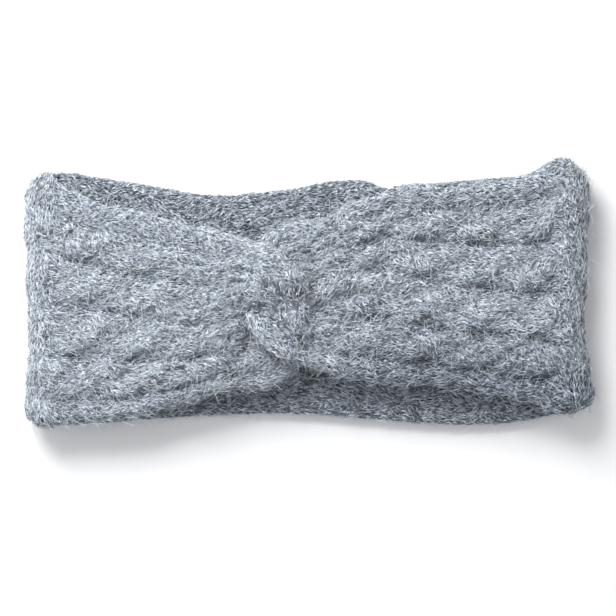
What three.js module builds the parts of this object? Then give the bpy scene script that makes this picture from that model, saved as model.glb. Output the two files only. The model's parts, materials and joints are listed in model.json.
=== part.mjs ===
// Ear warmer headband: a cable-knit loop that lies flat, its two front halves hooked round each other in a twist.
// Millimetres. X runs along the band from fold to fold, Y across it, and Z up from the surface that it lies on.
import * as THREE from "three";

// The loop as it lies flat.
const flatLength = 234; // between the outermost lines of the two side folds
const bandWidth = 106; // across the band, halfway along it
const knitWall = 3.5; // the plain knit between the cables
const headGap = 8; // the air between the front and the back, where the head goes in
const pressedRise = 1.6; // how far a cable still stands out under the back, where it is pressed flat
const seamGap = 0.35; // between two knitted pieces that are sewn together at a fold

// The cables, and what lies between them.
const topEdgeWidth = 13;
const bottomEdgeWidth = 10;
const outerCableWidth = 17;
const innerCableWidth = 21;
const gutterWidth = 1.5;
const cableRise = 3.4;
const edgeRise = 1.2;
const edgeRounding = 4; // how far from an edge the knit starts to turn over
const crossingPitch = 24.5; // from one crossing of a cable to the next
const strandHalf = 0.56; // half a strand of a cable, as a share of half the cable
const strandSwing = 0.48; // how far a strand swings from the cable's middle, as a share of the same half
const crossingLift = 0.5; // the share of a cable's rise that a strand gains as it crosses over

// The twist, where each front half turns round a point of its own, hooked over the other half.
const twistX = -12;
const twistY = -4.6;
const twistLean = THREE.MathUtils.degToRad(22); // the crease between the two hooked halves
const turnReach = 14.5; // from the twist's middle to the point that a half turns round
const hookLift = 5; // how far a hooked half stands over the tucked one
const tuckDip = 3; // how far a tucked half is pressed down
const tuckReach = 30; // from the turning point to the tucked edge
const tuckEndReach = 22; // the same at its hidden end
const easing = 14; // how far from the turning point a half reaches its full lift or dip
const creaseGap = THREE.MathUtils.degToRad(1.5);
const creaseDip = 3;
const creaseReach = 5;
const twistArch = 4.5; // how far the front bows up at the twist
const edgeDroop = 2; // how far its edges hang down there
const archReach = 48;

// Directions round a turning point, from the side that the fold is not on, in the half's own frame.
const entryAngle = THREE.MathUtils.degToRad(82);
const liftStart = THREE.MathUtils.degToRad(100);
const liftFull = THREE.MathUtils.degToRad(65);
const dipStart = THREE.MathUtils.degToRad(125);
const dipFull = THREE.MathUtils.degToRad(85);
const tuckSweep = THREE.MathUtils.degToRad(70);
const tuckShown = 0.7; // the share of that sweep that still shows

// How finely the skins are cut.
const rowStep = 3.6;
const backRowStep = 4.6;
const innerCoarseness = 3;
const backCoarseness = 1.5;
const knitColour = 0x91989f;

// The corners of the two side folds, as shares of half the band's width.
const corners = {
  left: { top: 0.92, bottom: 1.02 },
  right: { top: 0.99, bottom: 0.9 },
};

// A front half's edges, from the fold (0) to where they enter the twist (1). Each is a share of the way from its
// place there out to the fold's corner. The middle is how far the knit's middle sags, as a share of half the width.
const leftEdges = [
  { along: 0, hooked: 1, tucked: 1, middle: 0 },
  { along: 0.05, hooked: 1.05, tucked: 1.07, middle: 0 },
  { along: 0.12, hooked: 0.9, tucked: 1.04, middle: 0 },
  { along: 0.3, hooked: 0.61, tucked: 1, middle: 0.01 },
  { along: 0.5, hooked: 0.46, tucked: 0.88, middle: 0.05 },
  { along: 0.7, hooked: 0.27, tucked: 0.49, middle: 0.08 },
  { along: 0.85, hooked: 0.16, tucked: 0.21, middle: 0.08 },
  { along: 1, hooked: 0, tucked: 0, middle: 0 },
];
const rightEdges = [
  { along: 0, hooked: 1, tucked: 1, middle: 0 },
  { along: 0.08, hooked: 1.11, tucked: 1.2, middle: 0 },
  { along: 0.13, hooked: 1, tucked: 1.12, middle: 0 },
  { along: 0.2, hooked: 0.85, tucked: 0.92, middle: 0 },
  { along: 0.35, hooked: 0.67, tucked: 0.81, middle: 0.02 },
  { along: 0.55, hooked: 0.53, tucked: 0.72, middle: 0.08 },
  { along: 0.72, hooked: 0.42, tucked: 0.64, middle: 0.17 },
  { along: 0.79, hooked: 0.37, tucked: 0.46, middle: 0.17 },
  { along: 0.9, hooked: 0.21, tucked: 0.29, middle: 0.1 },
  { along: 1, hooked: 0, tucked: 0, middle: 0 },
];

// The back's edges from the left fold (0) to the right one (1), as shares of the line between the folds' corners.
const backEdges = [
  { along: 0, top: 1, bottom: 1 },
  { along: 0.03, top: 1.05, bottom: 1.02 },
  { along: 0.15, top: 0.98, bottom: 1.01 },
  { along: 0.33, top: 0.84, bottom: 0.99 },
  { along: 0.46, top: 0.88, bottom: 0.99 },
  { along: 0.59, top: 0.95, bottom: 1.04 },
  { along: 0.66, top: 0.86, bottom: 1.08 },
  { along: 0.79, top: 0.88, bottom: 1.13 },
  { along: 0.9, top: 0.95, bottom: 1.11 },
  { along: 0.97, top: 1.04, bottom: 1.04 },
  { along: 1, top: 1, bottom: 1 },
];

// How far a fold's line stands in, as a share of half the width, across the knit from the edge that is hooked in front.
const foldReach = 0.2; // the share of the way to the twist where this has died out
const leftFoldLine = [
  { across: 0, inset: 0.05 },
  { across: 0.06, inset: 0.006 },
  { across: 0.16, inset: -0.015 },
  { across: 0.3, inset: 0.006 },
  { across: 0.45, inset: 0.006 },
  { across: 0.65, inset: 0.023 },
  { across: 0.85, inset: 0.004 },
  { across: 0.95, inset: -0.006 },
  { across: 1, inset: 0.04 },
];
const rightFoldLine = [
  { across: 0, inset: 0.01 },
  { across: 0.05, inset: -0.038 },
  { across: 0.12, inset: -0.015 },
  { across: 0.25, inset: 0.015 },
  { across: 0.38, inset: 0.043 },
  { across: 0.5, inset: 0.028 },
  { across: 0.75, inset: 0.011 },
  { across: 0.85, inset: -0.006 },
  { across: 0.95, inset: 0.006 },
  { across: 1, inset: 0.047 },
];

// What the knit holds from its top edge to its bottom one, and into how many strips its skin is cut there.
const layout = [
  { kind: "edge", width: topEdgeWidth, cuts: 3 },
  { kind: "gutter", width: gutterWidth, cuts: 1 },
  { kind: "cable", width: outerCableWidth, cuts: 6 },
  { kind: "gutter", width: gutterWidth, cuts: 1 },
  { kind: "cable", width: innerCableWidth, cuts: 6 },
  { kind: "middle", width: gutterWidth, cuts: 2 },
  { kind: "cable", width: innerCableWidth, cuts: 6 },
  { kind: "gutter", width: gutterWidth, cuts: 1 },
  { kind: "cable", width: outerCableWidth, cuts: 6 },
  { kind: "gutter", width: gutterWidth, cuts: 1 },
  { kind: "edge", width: bottomEdgeWidth, cuts: 3 },
];

// Lengths that follow from the sizes above.
const halfWidth = bandWidth / 2;
const knitWidth = layout.reduce((sum, column) => sum + column.width, 0);
const backInner = pressedRise + knitWall;
const frontInner = backInner + headGap;
const frontOuter = frontInner + knitWall;
const foldRadius = (frontOuter - pressedRise) / 2;
const foldCentre = (frontOuter + pressedRise) / 2;
const foldLength = (foldRadius * Math.PI) / 2;
const exitAngle = twistLean + creaseGap;
const twistCentre = new THREE.Vector2(twistX, twistY);
const turnOffset = new THREE.Vector2(turnReach * Math.cos(twistLean), turnReach * Math.sin(twistLean));

// The two front halves. The right one is turned half round, so that each has its fold to the left in its own frame.
const leftHalf = {
  name: "left_front_panel",
  facing: 1,
  turningPoint: twistCentre.clone().sub(turnOffset),
  hookedCorner: corners.left.top * halfWidth,
  tuckedCorner: corners.left.bottom * halfWidth,
  hookedEdge: "top",
  edges: leftEdges,
  foldLine: leftFoldLine,
  hookReach: { entry: 31, exit: 27 },
  firstCrossing: 5.4,
};
const rightHalf = {
  name: "right_front_panel",
  facing: -1,
  turningPoint: twistCentre.clone().add(turnOffset),
  hookedCorner: corners.right.bottom * halfWidth,
  tuckedCorner: corners.right.top * halfWidth,
  hookedEdge: "bottom",
  edges: rightEdges,
  foldLine: rightFoldLine,
  hookReach: { entry: 30, exit: 29 },
  firstCrossing: 20.2,
};
const backFirstCrossing = 12;

// A smooth value between the rows of a table.
function between(rows, key, value, at) {
  const places = rows.map((row) => row[key]);
  const values = rows.map((row) => row[value]);
  return new THREE.CubicInterpolant(places, values, 1).evaluate(at)[0];
}

const { lerp, clamp, smoothstep } = THREE.MathUtils;
const hump = (distance, reach) => Math.exp(-((distance / reach) ** 2));

// The columns of the knit, counted from one edge.
function columnsFrom(edge) {
  const ordered = edge === "top" ? layout : layout.toReversed();
  let start = 0;
  return ordered.map((column) => {
    const placed = { ...column, start };
    start += column.width;
    return placed;
  });
}

// The share across the knit at which its two halves part.
function middleOf(columns) {
  const column = columns.find((one) => one.kind === "middle");
  return (column.start + column.width / 2) / knitWidth;
}

// The shares across the knit at which a skin is cut. A coarser skin has fewer cuts, but always one in the middle.
function cutsAcross(columns, coarseness) {
  const cuts = [0];
  for (const column of columns) {
    const count = column.kind === "middle" ? column.cuts : Math.max(1, Math.round(column.cuts / coarseness));
    for (let i = 1; i <= count; i++) {
      cuts.push((column.start + (column.width * i) / count) / knitWidth);
    }
  }
  return cuts;
}

// Even steps through stretches of knit that end at the given lengths.
function cutsAlong(ends, step) {
  const cuts = [0];
  for (const end of ends) {
    const start = cuts.at(-1);
    const count = Math.max(1, Math.round((end - start) / step));
    for (let i = 1; i <= count; i++) cuts.push(lerp(start, end, i / count));
  }
  return cuts;
}

// The outside of a two-strand rope, from 0 in its gutters to 1 on the crown of a strand that crosses over.
function ropeHeight(across, turn) {
  let height = 0;
  for (const angle of [turn, turn + Math.PI]) {
    const off = (across + strandSwing * Math.cos(angle)) / strandHalf;
    if (Math.abs(off) < 1) {
      const lift = (1 + Math.sin(angle)) / 2;
      height = Math.max(height, crossingLift * lift + (1 - crossingLift) * Math.sqrt(1 - off * off));
    }
  }
  return height;
}

// How far the knit stands out of its plain wall, at a share across it and a length along it.
function relief(columns, share, along, firstCrossing) {
  const place = share * knitWidth;
  const column = columns.find((one) => place < one.start + one.width) ?? columns.at(-1);
  const within = (place - column.start) / column.width;
  if (column.kind === "edge") return edgeRise * Math.sin(Math.PI * clamp(within, 0, 1));
  if (column.kind !== "cable") return 0;
  return cableRise * ropeHeight(1 - 2 * within, ((along - firstCrossing) / crossingPitch + 0.5) * Math.PI);
}

// How far a skin turns in towards the middle of the wall near an edge.
function edgeTurn(share) {
  const fromEdge = Math.min(share, 1 - share) * knitWidth;
  return (knitWall / 3) * (1 - clamp(fromEdge / edgeRounding, 0, 1)) ** 2;
}

// How far a skin stands out from the plain outer wall.
function skinHeight(share, outside, standsOut) {
  return outside ? standsOut - edgeTurn(share) : edgeTurn(share) - knitWall;
}

// The length of knit that goes round the turning point, measured along the hooked edge.
const turnLength = (half) => half.hookReach.entry * (entryAngle - exitAngle);

// The length of a front half's knit from its seam to where it starts to turn.
const webLength = (half) => foldLength - foldRadius - foldX(half);

// The outermost line of a half's fold, in the half's own frame.
const foldX = (half) => -flatLength / 2 - half.facing * half.turningPoint.x;

// Where a point of the wall between the fold and the turn lies, seen from above.
function webPlan(half, middleShare, way, share, outward) {
  const hookedSide = share < middleShare;
  const shift = half.facing * half.turningPoint.y;
  const corner = (hookedSide ? half.hookedCorner : -half.tuckedCorner) - shift;
  const cornerMiddle = lerp(half.hookedCorner, -half.tuckedCorner, middleShare) - shift;
  const reach = hookedSide ? half.hookReach.entry : -tuckReach;
  const drawnIn = between(half.edges, "along", hookedSide ? "hooked" : "tucked", way);
  const edgeX = lerp(foldX(half), reach * Math.cos(entryAngle), way);
  const edgeY = lerp(reach * Math.sin(entryAngle), corner, drawnIn);
  const middleX = lerp(foldX(half), 0, way);
  const middleY = lerp(cornerMiddle, 0, way) - halfWidth * between(half.edges, "along", "middle", way);
  const inset = halfWidth * between(half.foldLine, "across", "inset", share) * foldShare(way);
  return new THREE.Vector2(lerp(middleX, edgeX, outward) + inset, lerp(middleY, edgeY, outward));
}

// How much of the fold's own line is left, on the way from the fold (0) to the turn (1).
const foldShare = (way) => clamp(1 - way / foldReach, 0, 1) ** 2;

// Where a point of the wall that goes round the turning point lies, seen from above.
function turnPlan(half, hookedSide, sweep, outward) {
  const angle = hookedSide ? lerp(entryAngle, exitAngle, sweep) : entryAngle - Math.PI + tuckSweep * sweep;
  const reach = hookedSide
    ? lerp(half.hookReach.entry, half.hookReach.exit, sweep)
    : lerp(tuckReach, tuckEndReach, smoothstep(sweep, tuckShown, 1));
  return new THREE.Vector2(Math.cos(angle), Math.sin(angle)).multiplyScalar(reach * outward);
}

// How far the twist moves the wall up from where it lies flat.
function bow(plan, hookedSide, outward) {
  const eased = smoothstep(plan.length(), 0, easing);
  const direction = Math.abs(Math.atan2(plan.y, plan.x));
  const lift = hookLift * (1 - smoothstep(direction, liftFull, liftStart)) * eased;
  const dip = tuckDip * (1 - smoothstep(direction, dipFull, dipStart)) * eased;
  const arch = hump(plan.x - turnOffset.x, archReach) * (twistArch - edgeDroop * outward ** 2);
  return arch + (hookedSide ? lift : -dip);
}

// How close a hooked point is to the crease between the two halves, from 0 to 1 in the crease.
function creaseAt(plan, hookedSide) {
  const turned = plan.clone().rotateAround(new THREE.Vector2(), -twistLean);
  return hookedSide ? hump(turned.y, creaseReach) * smoothstep(turned.x, 0, easing) : 0;
}

// A point of a front half, at a length along its knit from the seam and a share across it from its hooked edge.
function frontPoint(half, columns, along, share, outside) {
  const middleShare = middleOf(columns);
  const hookedSide = share < middleShare;
  const outward = hookedSide ? 1 - share / middleShare : (share - middleShare) / (1 - middleShare);
  const tilt = Math.min(along / foldRadius, Math.PI / 2);
  const advance = along < foldLength ? foldRadius * (1 - Math.cos(tilt)) : foldRadius + along - foldLength;
  const turned = along - webLength(half);
  const plan = turned < 0
    ? webPlan(half, middleShare, -advance / foldX(half), share, outward)
    : turnPlan(half, hookedSide, turned / turnLength(half), outward);
  const crease = creaseAt(plan, hookedSide);
  const pinched = lerp(smoothstep(plan.length(), 0, easing), 1, smoothstep(-plan.x, 0, easing));
  const rise = relief(columns, share, along, half.firstCrossing) * pinched * (1 - crease);
  const height = skinHeight(share, outside, rise - creaseDip * crease);
  const seam = (seamGap / 2) * Math.cos(tilt);
  return new THREE.Vector3(
    plan.x - height * Math.cos(tilt),
    plan.y,
    foldCentre + seam + (foldRadius + height) * Math.sin(tilt) + bow(plan, hookedSide, outward),
  );
}

// One skin of a front half, as a grid of points. All its rows past the web meet at the turning point.
function frontSkin(half, columns, outside, coarseness) {
  const webEnd = webLength(half);
  const ends = [foldLength, webEnd, webEnd + turnLength(half)];
  const middleShare = middleOf(columns);
  const turningPoint = frontPoint(half, columns, webEnd, middleShare, outside);
  return cutsAlong(ends, rowStep * coarseness).map((along) =>
    cutsAcross(columns, coarseness).map((share) => {
      const atTurningPoint = along >= webEnd && Math.abs(share - middleShare) < 1e-9;
      return atTurningPoint ? turningPoint : frontPoint(half, columns, along, share, outside);
    }),
  );
}

// A point of the back, at a length along its knit from the left seam and a share across it from its top edge.
function backPoint(columns, along, share, outside) {
  const length = 2 * foldLength + flatLength - 2 * foldRadius;
  const fromSeam = Math.min(along, length - along);
  const side = along < length / 2 ? -1 : 1;
  const tilt = Math.min(fromSeam / foldRadius, Math.PI / 2);
  const advance = fromSeam < foldLength ? foldRadius * (1 - Math.cos(tilt)) : foldRadius + fromSeam - foldLength;
  const x = side * (flatLength / 2 - advance);
  const way = x / flatLength + 0.5;
  const top = halfWidth * lerp(corners.left.top, corners.right.top, way) * between(backEdges, "along", "top", way);
  const bottom =
    halfWidth * lerp(corners.left.bottom, corners.right.bottom, way) * between(backEdges, "along", "bottom", way);
  const line = side < 0 ? leftFoldLine : rightFoldLine;
  const acrossLine = side < 0 ? share : 1 - share;
  const front = side < 0 ? leftHalf : rightHalf;
  const inset = halfWidth * between(line, "across", "inset", acrossLine) * foldShare(-advance / foldX(front));
  const height = skinHeight(share, outside, relief(columns, share, -along, backFirstCrossing));
  const seam = (seamGap / 2) * Math.cos(tilt);
  const z = foldCentre - seam - (foldRadius + height) * Math.sin(tilt);
  return new THREE.Vector3(x + side * (height * Math.cos(tilt) - inset), lerp(top, -bottom, share), Math.max(z, 0));
}

// One skin of the back, as a grid of points.
function backSkin(columns, outside, step, coarseness) {
  const flat = flatLength - 2 * foldRadius;
  const ends = [foldLength, foldLength + flat, 2 * foldLength + flat];
  return cutsAlong(ends, step).map((along) =>
    cutsAcross(columns, coarseness).map((share) => backPoint(columns, along, share, outside)),
  );
}

// The border of a grid of points, as its four sides in turn.
function borderOf(grid) {
  const last = grid.at(-1);
  return [
    grid[0],
    grid.map((row) => row.at(-1)),
    last.toReversed(),
    grid.map((row) => row[0]).toReversed(),
  ];
}

// How far along a line of points each one lies, from 0 to 1.
function shareOfLine(points) {
  const lengths = [0];
  for (let i = 1; i < points.length; i++) lengths.push(lengths[i - 1] + points[i].distanceTo(points[i - 1]));
  return lengths.map((length) => length / lengths.at(-1));
}

// A closed wall between an upper skin and a lower one, each a grid of points.
function wallGeometry(upper, lower) {
  const points = [...new Set([...upper.flat(), ...lower.flat()])];
  const number = new Map(points.map((point, i) => [point, i]));
  const index = [];
  const addFace = (a, b, c) => {
    if (a !== b && b !== c && a !== c) index.push(number.get(a), number.get(b), number.get(c));
  };
  const addSkin = (grid, turnedOver) => {
    for (let i = 1; i < grid.length; i++) {
      for (let j = 1; j < grid[i].length; j++) {
        const [a, b, c, d] = [grid[i - 1][j - 1], grid[i - 1][j], grid[i][j], grid[i][j - 1]];
        addFace(a, turnedOver ? c : b, turnedOver ? b : c);
        addFace(a, turnedOver ? d : c, turnedOver ? c : d);
      }
    }
  };
  addSkin(upper, false);
  addSkin(lower, true);
  const lowerBorder = borderOf(lower);
  borderOf(upper).forEach((above, side) => {
    const below = lowerBorder[side];
    const aboveShares = shareOfLine(above);
    const belowShares = shareOfLine(below);
    let i = 0;
    let j = 0;
    while (i < above.length - 1 || j < below.length - 1) {
      const takeAbove = j === below.length - 1 || (i < above.length - 1 && aboveShares[i + 1] <= belowShares[j + 1]);
      if (takeAbove) addFace(above[i], below[j], above[++i]);
      else addFace(above[i], below[j], below[++j]);
    }
  });
  const geometry = new THREE.BufferGeometry().setFromPoints(points);
  geometry.setIndex(index);
  geometry.computeVertexNormals();
  return geometry;
}

const knit = new THREE.MeshStandardMaterial({ color: knitColour, roughness: 1, metalness: 0 });

// A front half: hooked over the other one on one side of the twist, tucked under it on the other.
function frontPanel(half) {
  const columns = columnsFrom(half.hookedEdge);
  const outer = frontSkin(half, columns, true, 1);
  const inner = frontSkin(half, columns, false, innerCoarseness);
  const panel = new THREE.Mesh(wallGeometry(outer, inner), knit);
  panel.name = half.name;
  panel.position.set(half.turningPoint.x, half.turningPoint.y, 0);
  panel.rotation.z = half.facing > 0 ? 0 : Math.PI;
  return panel;
}

// The back, which the loop lies on.
function backPanel() {
  const columns = columnsFrom("top");
  const inner = backSkin(columns, false, backRowStep * innerCoarseness, innerCoarseness);
  const outer = backSkin(columns, true, backRowStep, backCoarseness);
  const panel = new THREE.Mesh(wallGeometry(inner, outer), knit);
  panel.name = "back_panel";
  return panel;
}

// The origin is under the middle of the whole loop, on the surface that it lies on.
const headband = new THREE.Group();
headband.add(backPanel(), frontPanel(leftHalf), frontPanel(rightHalf));
const reach = new THREE.Box3().setFromObject(headband, true);
const middle = reach.getCenter(new THREE.Vector3());
headband.position.set(-middle.x, -middle.y, -reach.min.z);

export default headband;
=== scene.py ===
"""Ear warmer headband: a cable-knit loop of brushed grey yarn, its front crossed over in a twist.

Three knitted panels are dressed here: the back, and the two front halves that hook round each other.
Each one gets a closed wall of knit, the stitches that stand out of it, the brushed fibres that cover
the stitches, and a few long stray ones. Lengths are in millimetres until a mesh is made, and then in
metres.
"""

import json
import logging
import math
from dataclasses import dataclass, replace
from enum import Enum, IntEnum
from typing import Any, NamedTuple

import bpy
import mathutils
import numpy as np
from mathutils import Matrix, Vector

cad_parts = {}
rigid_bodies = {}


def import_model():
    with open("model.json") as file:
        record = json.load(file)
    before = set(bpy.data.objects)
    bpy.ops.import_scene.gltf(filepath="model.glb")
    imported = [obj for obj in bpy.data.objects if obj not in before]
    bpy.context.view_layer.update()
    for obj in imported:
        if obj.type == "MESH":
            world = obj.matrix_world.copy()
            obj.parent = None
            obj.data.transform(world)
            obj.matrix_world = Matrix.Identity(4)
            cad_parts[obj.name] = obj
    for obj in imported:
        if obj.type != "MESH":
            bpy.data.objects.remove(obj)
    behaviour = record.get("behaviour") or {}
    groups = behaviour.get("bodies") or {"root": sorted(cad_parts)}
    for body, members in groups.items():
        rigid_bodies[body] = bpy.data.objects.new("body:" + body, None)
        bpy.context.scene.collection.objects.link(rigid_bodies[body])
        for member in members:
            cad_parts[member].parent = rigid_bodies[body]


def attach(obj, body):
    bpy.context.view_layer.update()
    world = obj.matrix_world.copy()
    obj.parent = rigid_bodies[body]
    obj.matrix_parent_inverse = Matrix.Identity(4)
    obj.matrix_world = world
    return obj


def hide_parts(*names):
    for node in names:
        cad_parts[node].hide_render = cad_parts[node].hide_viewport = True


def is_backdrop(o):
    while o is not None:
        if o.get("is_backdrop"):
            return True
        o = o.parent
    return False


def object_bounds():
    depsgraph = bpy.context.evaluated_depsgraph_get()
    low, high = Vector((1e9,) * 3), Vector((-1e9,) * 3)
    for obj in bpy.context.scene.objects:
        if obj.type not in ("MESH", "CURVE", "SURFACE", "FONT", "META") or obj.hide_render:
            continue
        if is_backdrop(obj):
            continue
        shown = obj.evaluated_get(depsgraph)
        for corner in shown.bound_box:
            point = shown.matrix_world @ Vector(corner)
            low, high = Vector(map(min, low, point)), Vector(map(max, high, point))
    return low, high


LOG = logging.getLogger("headband")
MM = 0.001
BODY = "root"
Array = np.ndarray
Face = tuple[int, ...]


class Kind(Enum):
    """What a column of the knit is."""

    EDGE = "edge"
    GUTTER = "gutter"
    CABLE = "cable"
    MIDDLE = "middle"


class Skin(Enum):
    """Which side of a wall a skin is on."""

    OUTER = "outer"
    INNER = "inner"


class Draw(IntEnum):
    """What each random number of a fibre is for, as a step from the seed."""

    TURN = 1
    ABOUT = 2
    LIFT = 3
    ROLL = 4
    TONE = 5
    LENGTH = 11
    THICKNESS = 12


class EdgeRow(NamedTuple):
    """How far a front half's edges stand out, and its middle sags, from its fold to the twist."""

    along: float
    hooked: float
    tucked: float
    middle: float


class BackRow(NamedTuple):
    """The back's edges, as shares of the line between the folds' corners."""

    along: float
    top: float
    bottom: float


class FoldRow(NamedTuple):
    """How far a fold's line stands in across the band, as a share of half the band's width."""

    across: float
    inset: float


@dataclass(frozen=True)
class Column:
    """A column of the knit, such as a cable or the plain gutter beside it.

    wales is how many lines of stitches an edge, or one strand of a cable, has side by side.
    """

    kind: Kind
    width: float
    cuts: int
    wales: int = 0


@dataclass(frozen=True)
class BandSizes:
    """The driving sizes of the whole loop."""

    flat_length: float = 234.0
    band_width: float = 106.0
    knit_wall: float = 3.5
    head_gap: float = 8.0
    pressed_rise: float = 1.6
    seam_gap: float = 0.35
    cable_rise: float = 3.4
    edge_rise: float = 1.2
    edge_rounding: float = 4.0
    crossing_pitch: float = 24.5
    strand_half: float = 0.56
    strand_swing: float = 0.48
    crossing_lift: float = 0.5
    fold_reach: float = 0.2
    row_pitch: float = 3.0
    wale_width: float = 3.9
    back_first_crossing: float = 12.0

    @property
    def half_width(self) -> float:
        """Half of the band's width."""
        return self.band_width / 2

    @property
    def front_outer(self) -> float:
        """The height of the front's plain outer wall."""
        return self.pressed_rise + 2 * self.knit_wall + self.head_gap

    @property
    def fold_radius(self) -> float:
        """The radius of the plain outer wall at a fold."""
        return (self.front_outer - self.pressed_rise) / 2

    @property
    def fold_centre(self) -> float:
        """The height of the line that a fold bends round."""
        return (self.front_outer + self.pressed_rise) / 2

    @property
    def fold_length(self) -> float:
        """The length of knit from a seam to where a panel lies flat."""
        return self.fold_radius * math.pi / 2


@dataclass(frozen=True)
class TwistSizes:
    """The sizes of the twist, in a front half's own frame.

    Its fold is to the left there, and its turning point at 0, 0.
    """

    x: float = -12.0
    y: float = -4.6
    lean: float = math.radians(22)
    turn_reach: float = 14.5
    hook_lift: float = 5.0
    tuck_dip: float = 3.0
    tuck_reach: float = 30.0
    tuck_end_reach: float = 22.0
    easing: float = 14.0
    crease_gap: float = math.radians(1.5)
    crease_dip: float = 0.2
    crease_reach: float = 5.0
    arch: float = 4.5
    edge_droop: float = 2.0
    arch_reach: float = 48.0
    entry: float = math.radians(82)
    lift_start: float = math.radians(100)
    lift_full: float = math.radians(65)
    dip_start: float = math.radians(125)
    dip_full: float = math.radians(85)
    tuck_sweep: float = math.radians(70)
    tuck_shown: float = 0.7
    tuck_margin: float = 0.12

    @property
    def exit(self) -> float:
        """The direction in which a hooked half ends at the crease."""
        return self.lean + self.crease_gap

    @property
    def offset(self) -> Array:
        """The way from a turning point to the twist's middle."""
        return self.turn_reach * np.array([math.cos(self.lean), math.sin(self.lean)])


@dataclass(frozen=True)
class BrushSizes:
    """How the surface of the brushed fibres lies over the knit.

    Attributes:
        ground: how far it stands out of the plain wall beside the cables.
        cable_body: how much further it stands out over the middle of a cable.
        relief_base: how far it stands out at least over the relief.
        relief_share: how much of the relief shows through it.
        gutter_sway: how far a gutter's line sways with the cables beside it.
        gutter_reach: how far a gutter reaches to each side.
        gutter_waver: how far its depth wavers with the crossings, as a share.
        gutter_beat: how often it does so in one turn of a strand.
        gutter_delay: how much later, in radians, for each millimetre across the knit.
        edge_gutter: how deep a gutter beside an edge is, as a share.
        gutter_dip: how deep a whole gutter is.
        smoothed_rise: how far it stands out where the twist draws the knit smooth.
        smooth_within: how far from the twist's middle the knit is at its smoothest.
        crisp_beyond: how far from there it has its whole relief.
        least_relief: the share of the relief that shows in the twist.
        fold_rise: how far it stands out on a fold.
        fold_share: how much of it is drawn to that on a fold.
        fold_gutter: how much of a gutter is lost on a fold.
        fold_before: how far before the end of the fold that starts to fade.
        fold_after: how far past the end of the fold it is gone.
        wall_cover: how far the wall stays under the surface.
        inner_rise: how far the surface stands out of the inner skin.
    """

    ground: float = 0.8
    cable_body: float = 1.0
    relief_base: float = 0.9
    relief_share: float = 0.8
    gutter_sway: float = 0.9
    gutter_reach: float = 1.5
    gutter_waver: float = 0.6
    gutter_beat: float = 2.0
    gutter_delay: float = 0.8
    edge_gutter: float = 0.5
    gutter_dip: float = 0.7
    smoothed_rise: float = 1.9
    smooth_within: float = 12.0
    crisp_beyond: float = 60.0
    least_relief: float = 0.15
    fold_rise: float = 2.2
    fold_share: float = 0.85
    fold_gutter: float = 0.5
    fold_before: float = 3.0
    fold_after: float = 9.0
    wall_cover: float = 1.3
    inner_rise: float = 0.75


@dataclass(frozen=True)
class GrowthSizes:
    """Where fibres grow on a panel, how loose they are and how light.

    Attributes:
        row_step: the length of knit between two rows of the surface that they grow on.
        gutter_loss: the share of them that a gutter lacks.
        inner_share: the share of them that grows on a front half's inner skin.
        hidden_share: the share of them that grows on the back's hidden outer skin.
        strip: how wide the strips of the back's inner skin are that show past the front.
        strip_end: how far from an edge the back's inner skin has none.
        relief_tone: how much lighter they are for each share of relief, as painted light and shade.
        middle_relief: the relief at which they are neither lighter nor darker.
        gutter_tone: how much darker they are in a gutter, as painted shade.
        inner_tone: how much darker they are on the inner skin, as painted shade inside the loop.
        shade_from: how far from the hooked edge its painted shade starts to fade.
        shade_to: how far from the hooked edge it is gone.
        shade_near: how far from the twist's middle that shade starts.
        shade_far: how far from there it is whole.
        fold_blend: how far round the end of a fold the grain turns across.
        edge_loose: how loose they are on an edge, as a share.
        edge_reach: how far from an edge they are at their loosest.
        fold_hold: how much less loose they are on a fold.
    """

    row_step: float = 2.2
    gutter_loss: float = 0.35
    inner_share: float = 0.02
    hidden_share: float = 0.3
    strip: float = 22.0
    strip_end: float = 30.0
    relief_tone: float = 0.2
    middle_relief: float = 0.6
    gutter_tone: float = 0.22
    inner_tone: float = 0.08
    shade_from: float = 10.0
    shade_to: float = 36.0
    shade_near: float = 24.0
    shade_far: float = 60.0
    fold_blend: float = 2.0
    edge_loose: float = 0.35
    edge_reach: float = 4.0
    fold_hold: float = 0.45


@dataclass(frozen=True)
class StitchSizes:
    """How stitches are set on the knit.

    Attributes:
        walk: the step in which a line of stitches is measured.
        ahead: the small step from which the way ahead, or across the relief, is taken.
        sidestep: the small step from which the way across plain knit is taken.
        covered: how far under the knit's relief a strand may lie and still show its stitches.
        seat: how far the middle of a stitch lies under the top of its wale.
        height: how high a knit stitch is.
        tone: how light a knit stitch is in a dent, kept dark as painted shade under the fibres.
        crown_tone: how much lighter it is on the crown of a cable, as painted light.
        edge_tone: how light it is on an edge of the inner skin.
        purl: the width, length and height of a purl bump.
        purl_tone: how light a purl bump is.
        purl_stagger: how far every other column of purl bumps is set on, in rows.
    """

    walk: float = 0.25
    ahead: float = 0.5
    sidestep: float = 0.6
    covered: float = 0.7
    seat: float = 0.35
    height: float = 1.7
    tone: float = 0.25
    crown_tone: float = 0.45
    edge_tone: float = 0.5
    purl: tuple[float, float, float] = (3.6, 2.5, 1.3)
    purl_tone: float = 0.45
    purl_stagger: float = 0.25


@dataclass(frozen=True)
class Looseness:
    """How far stitches stray at random.

    Attributes:
        lean: how far they lean.
        yaw: how far they turn in the plane of the knit.
        scale: their least and greatest scale.
        tone: how far their tone strays.
        seed: a step from the panel's seed.
    """

    lean: float
    yaw: float
    scale: tuple[float, float]
    tone: float
    seed: int


BAND = BandSizes()
TWIST = TwistSizes()
BRUSH = BrushSizes()
GROWTH = GrowthSizes()
STITCH = StitchSizes()
KNIT_LOOSENESS = Looseness(lean=0.05, yaw=0.05, scale=(0.92, 1.1), tone=0.12, seed=100)
PURL_LOOSENESS = Looseness(lean=0.06, yaw=0.08, scale=(0.9, 1.12), tone=0.15, seed=200)
EDGE_LOOSENESS = replace(KNIT_LOOSENESS, seed=300)

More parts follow.
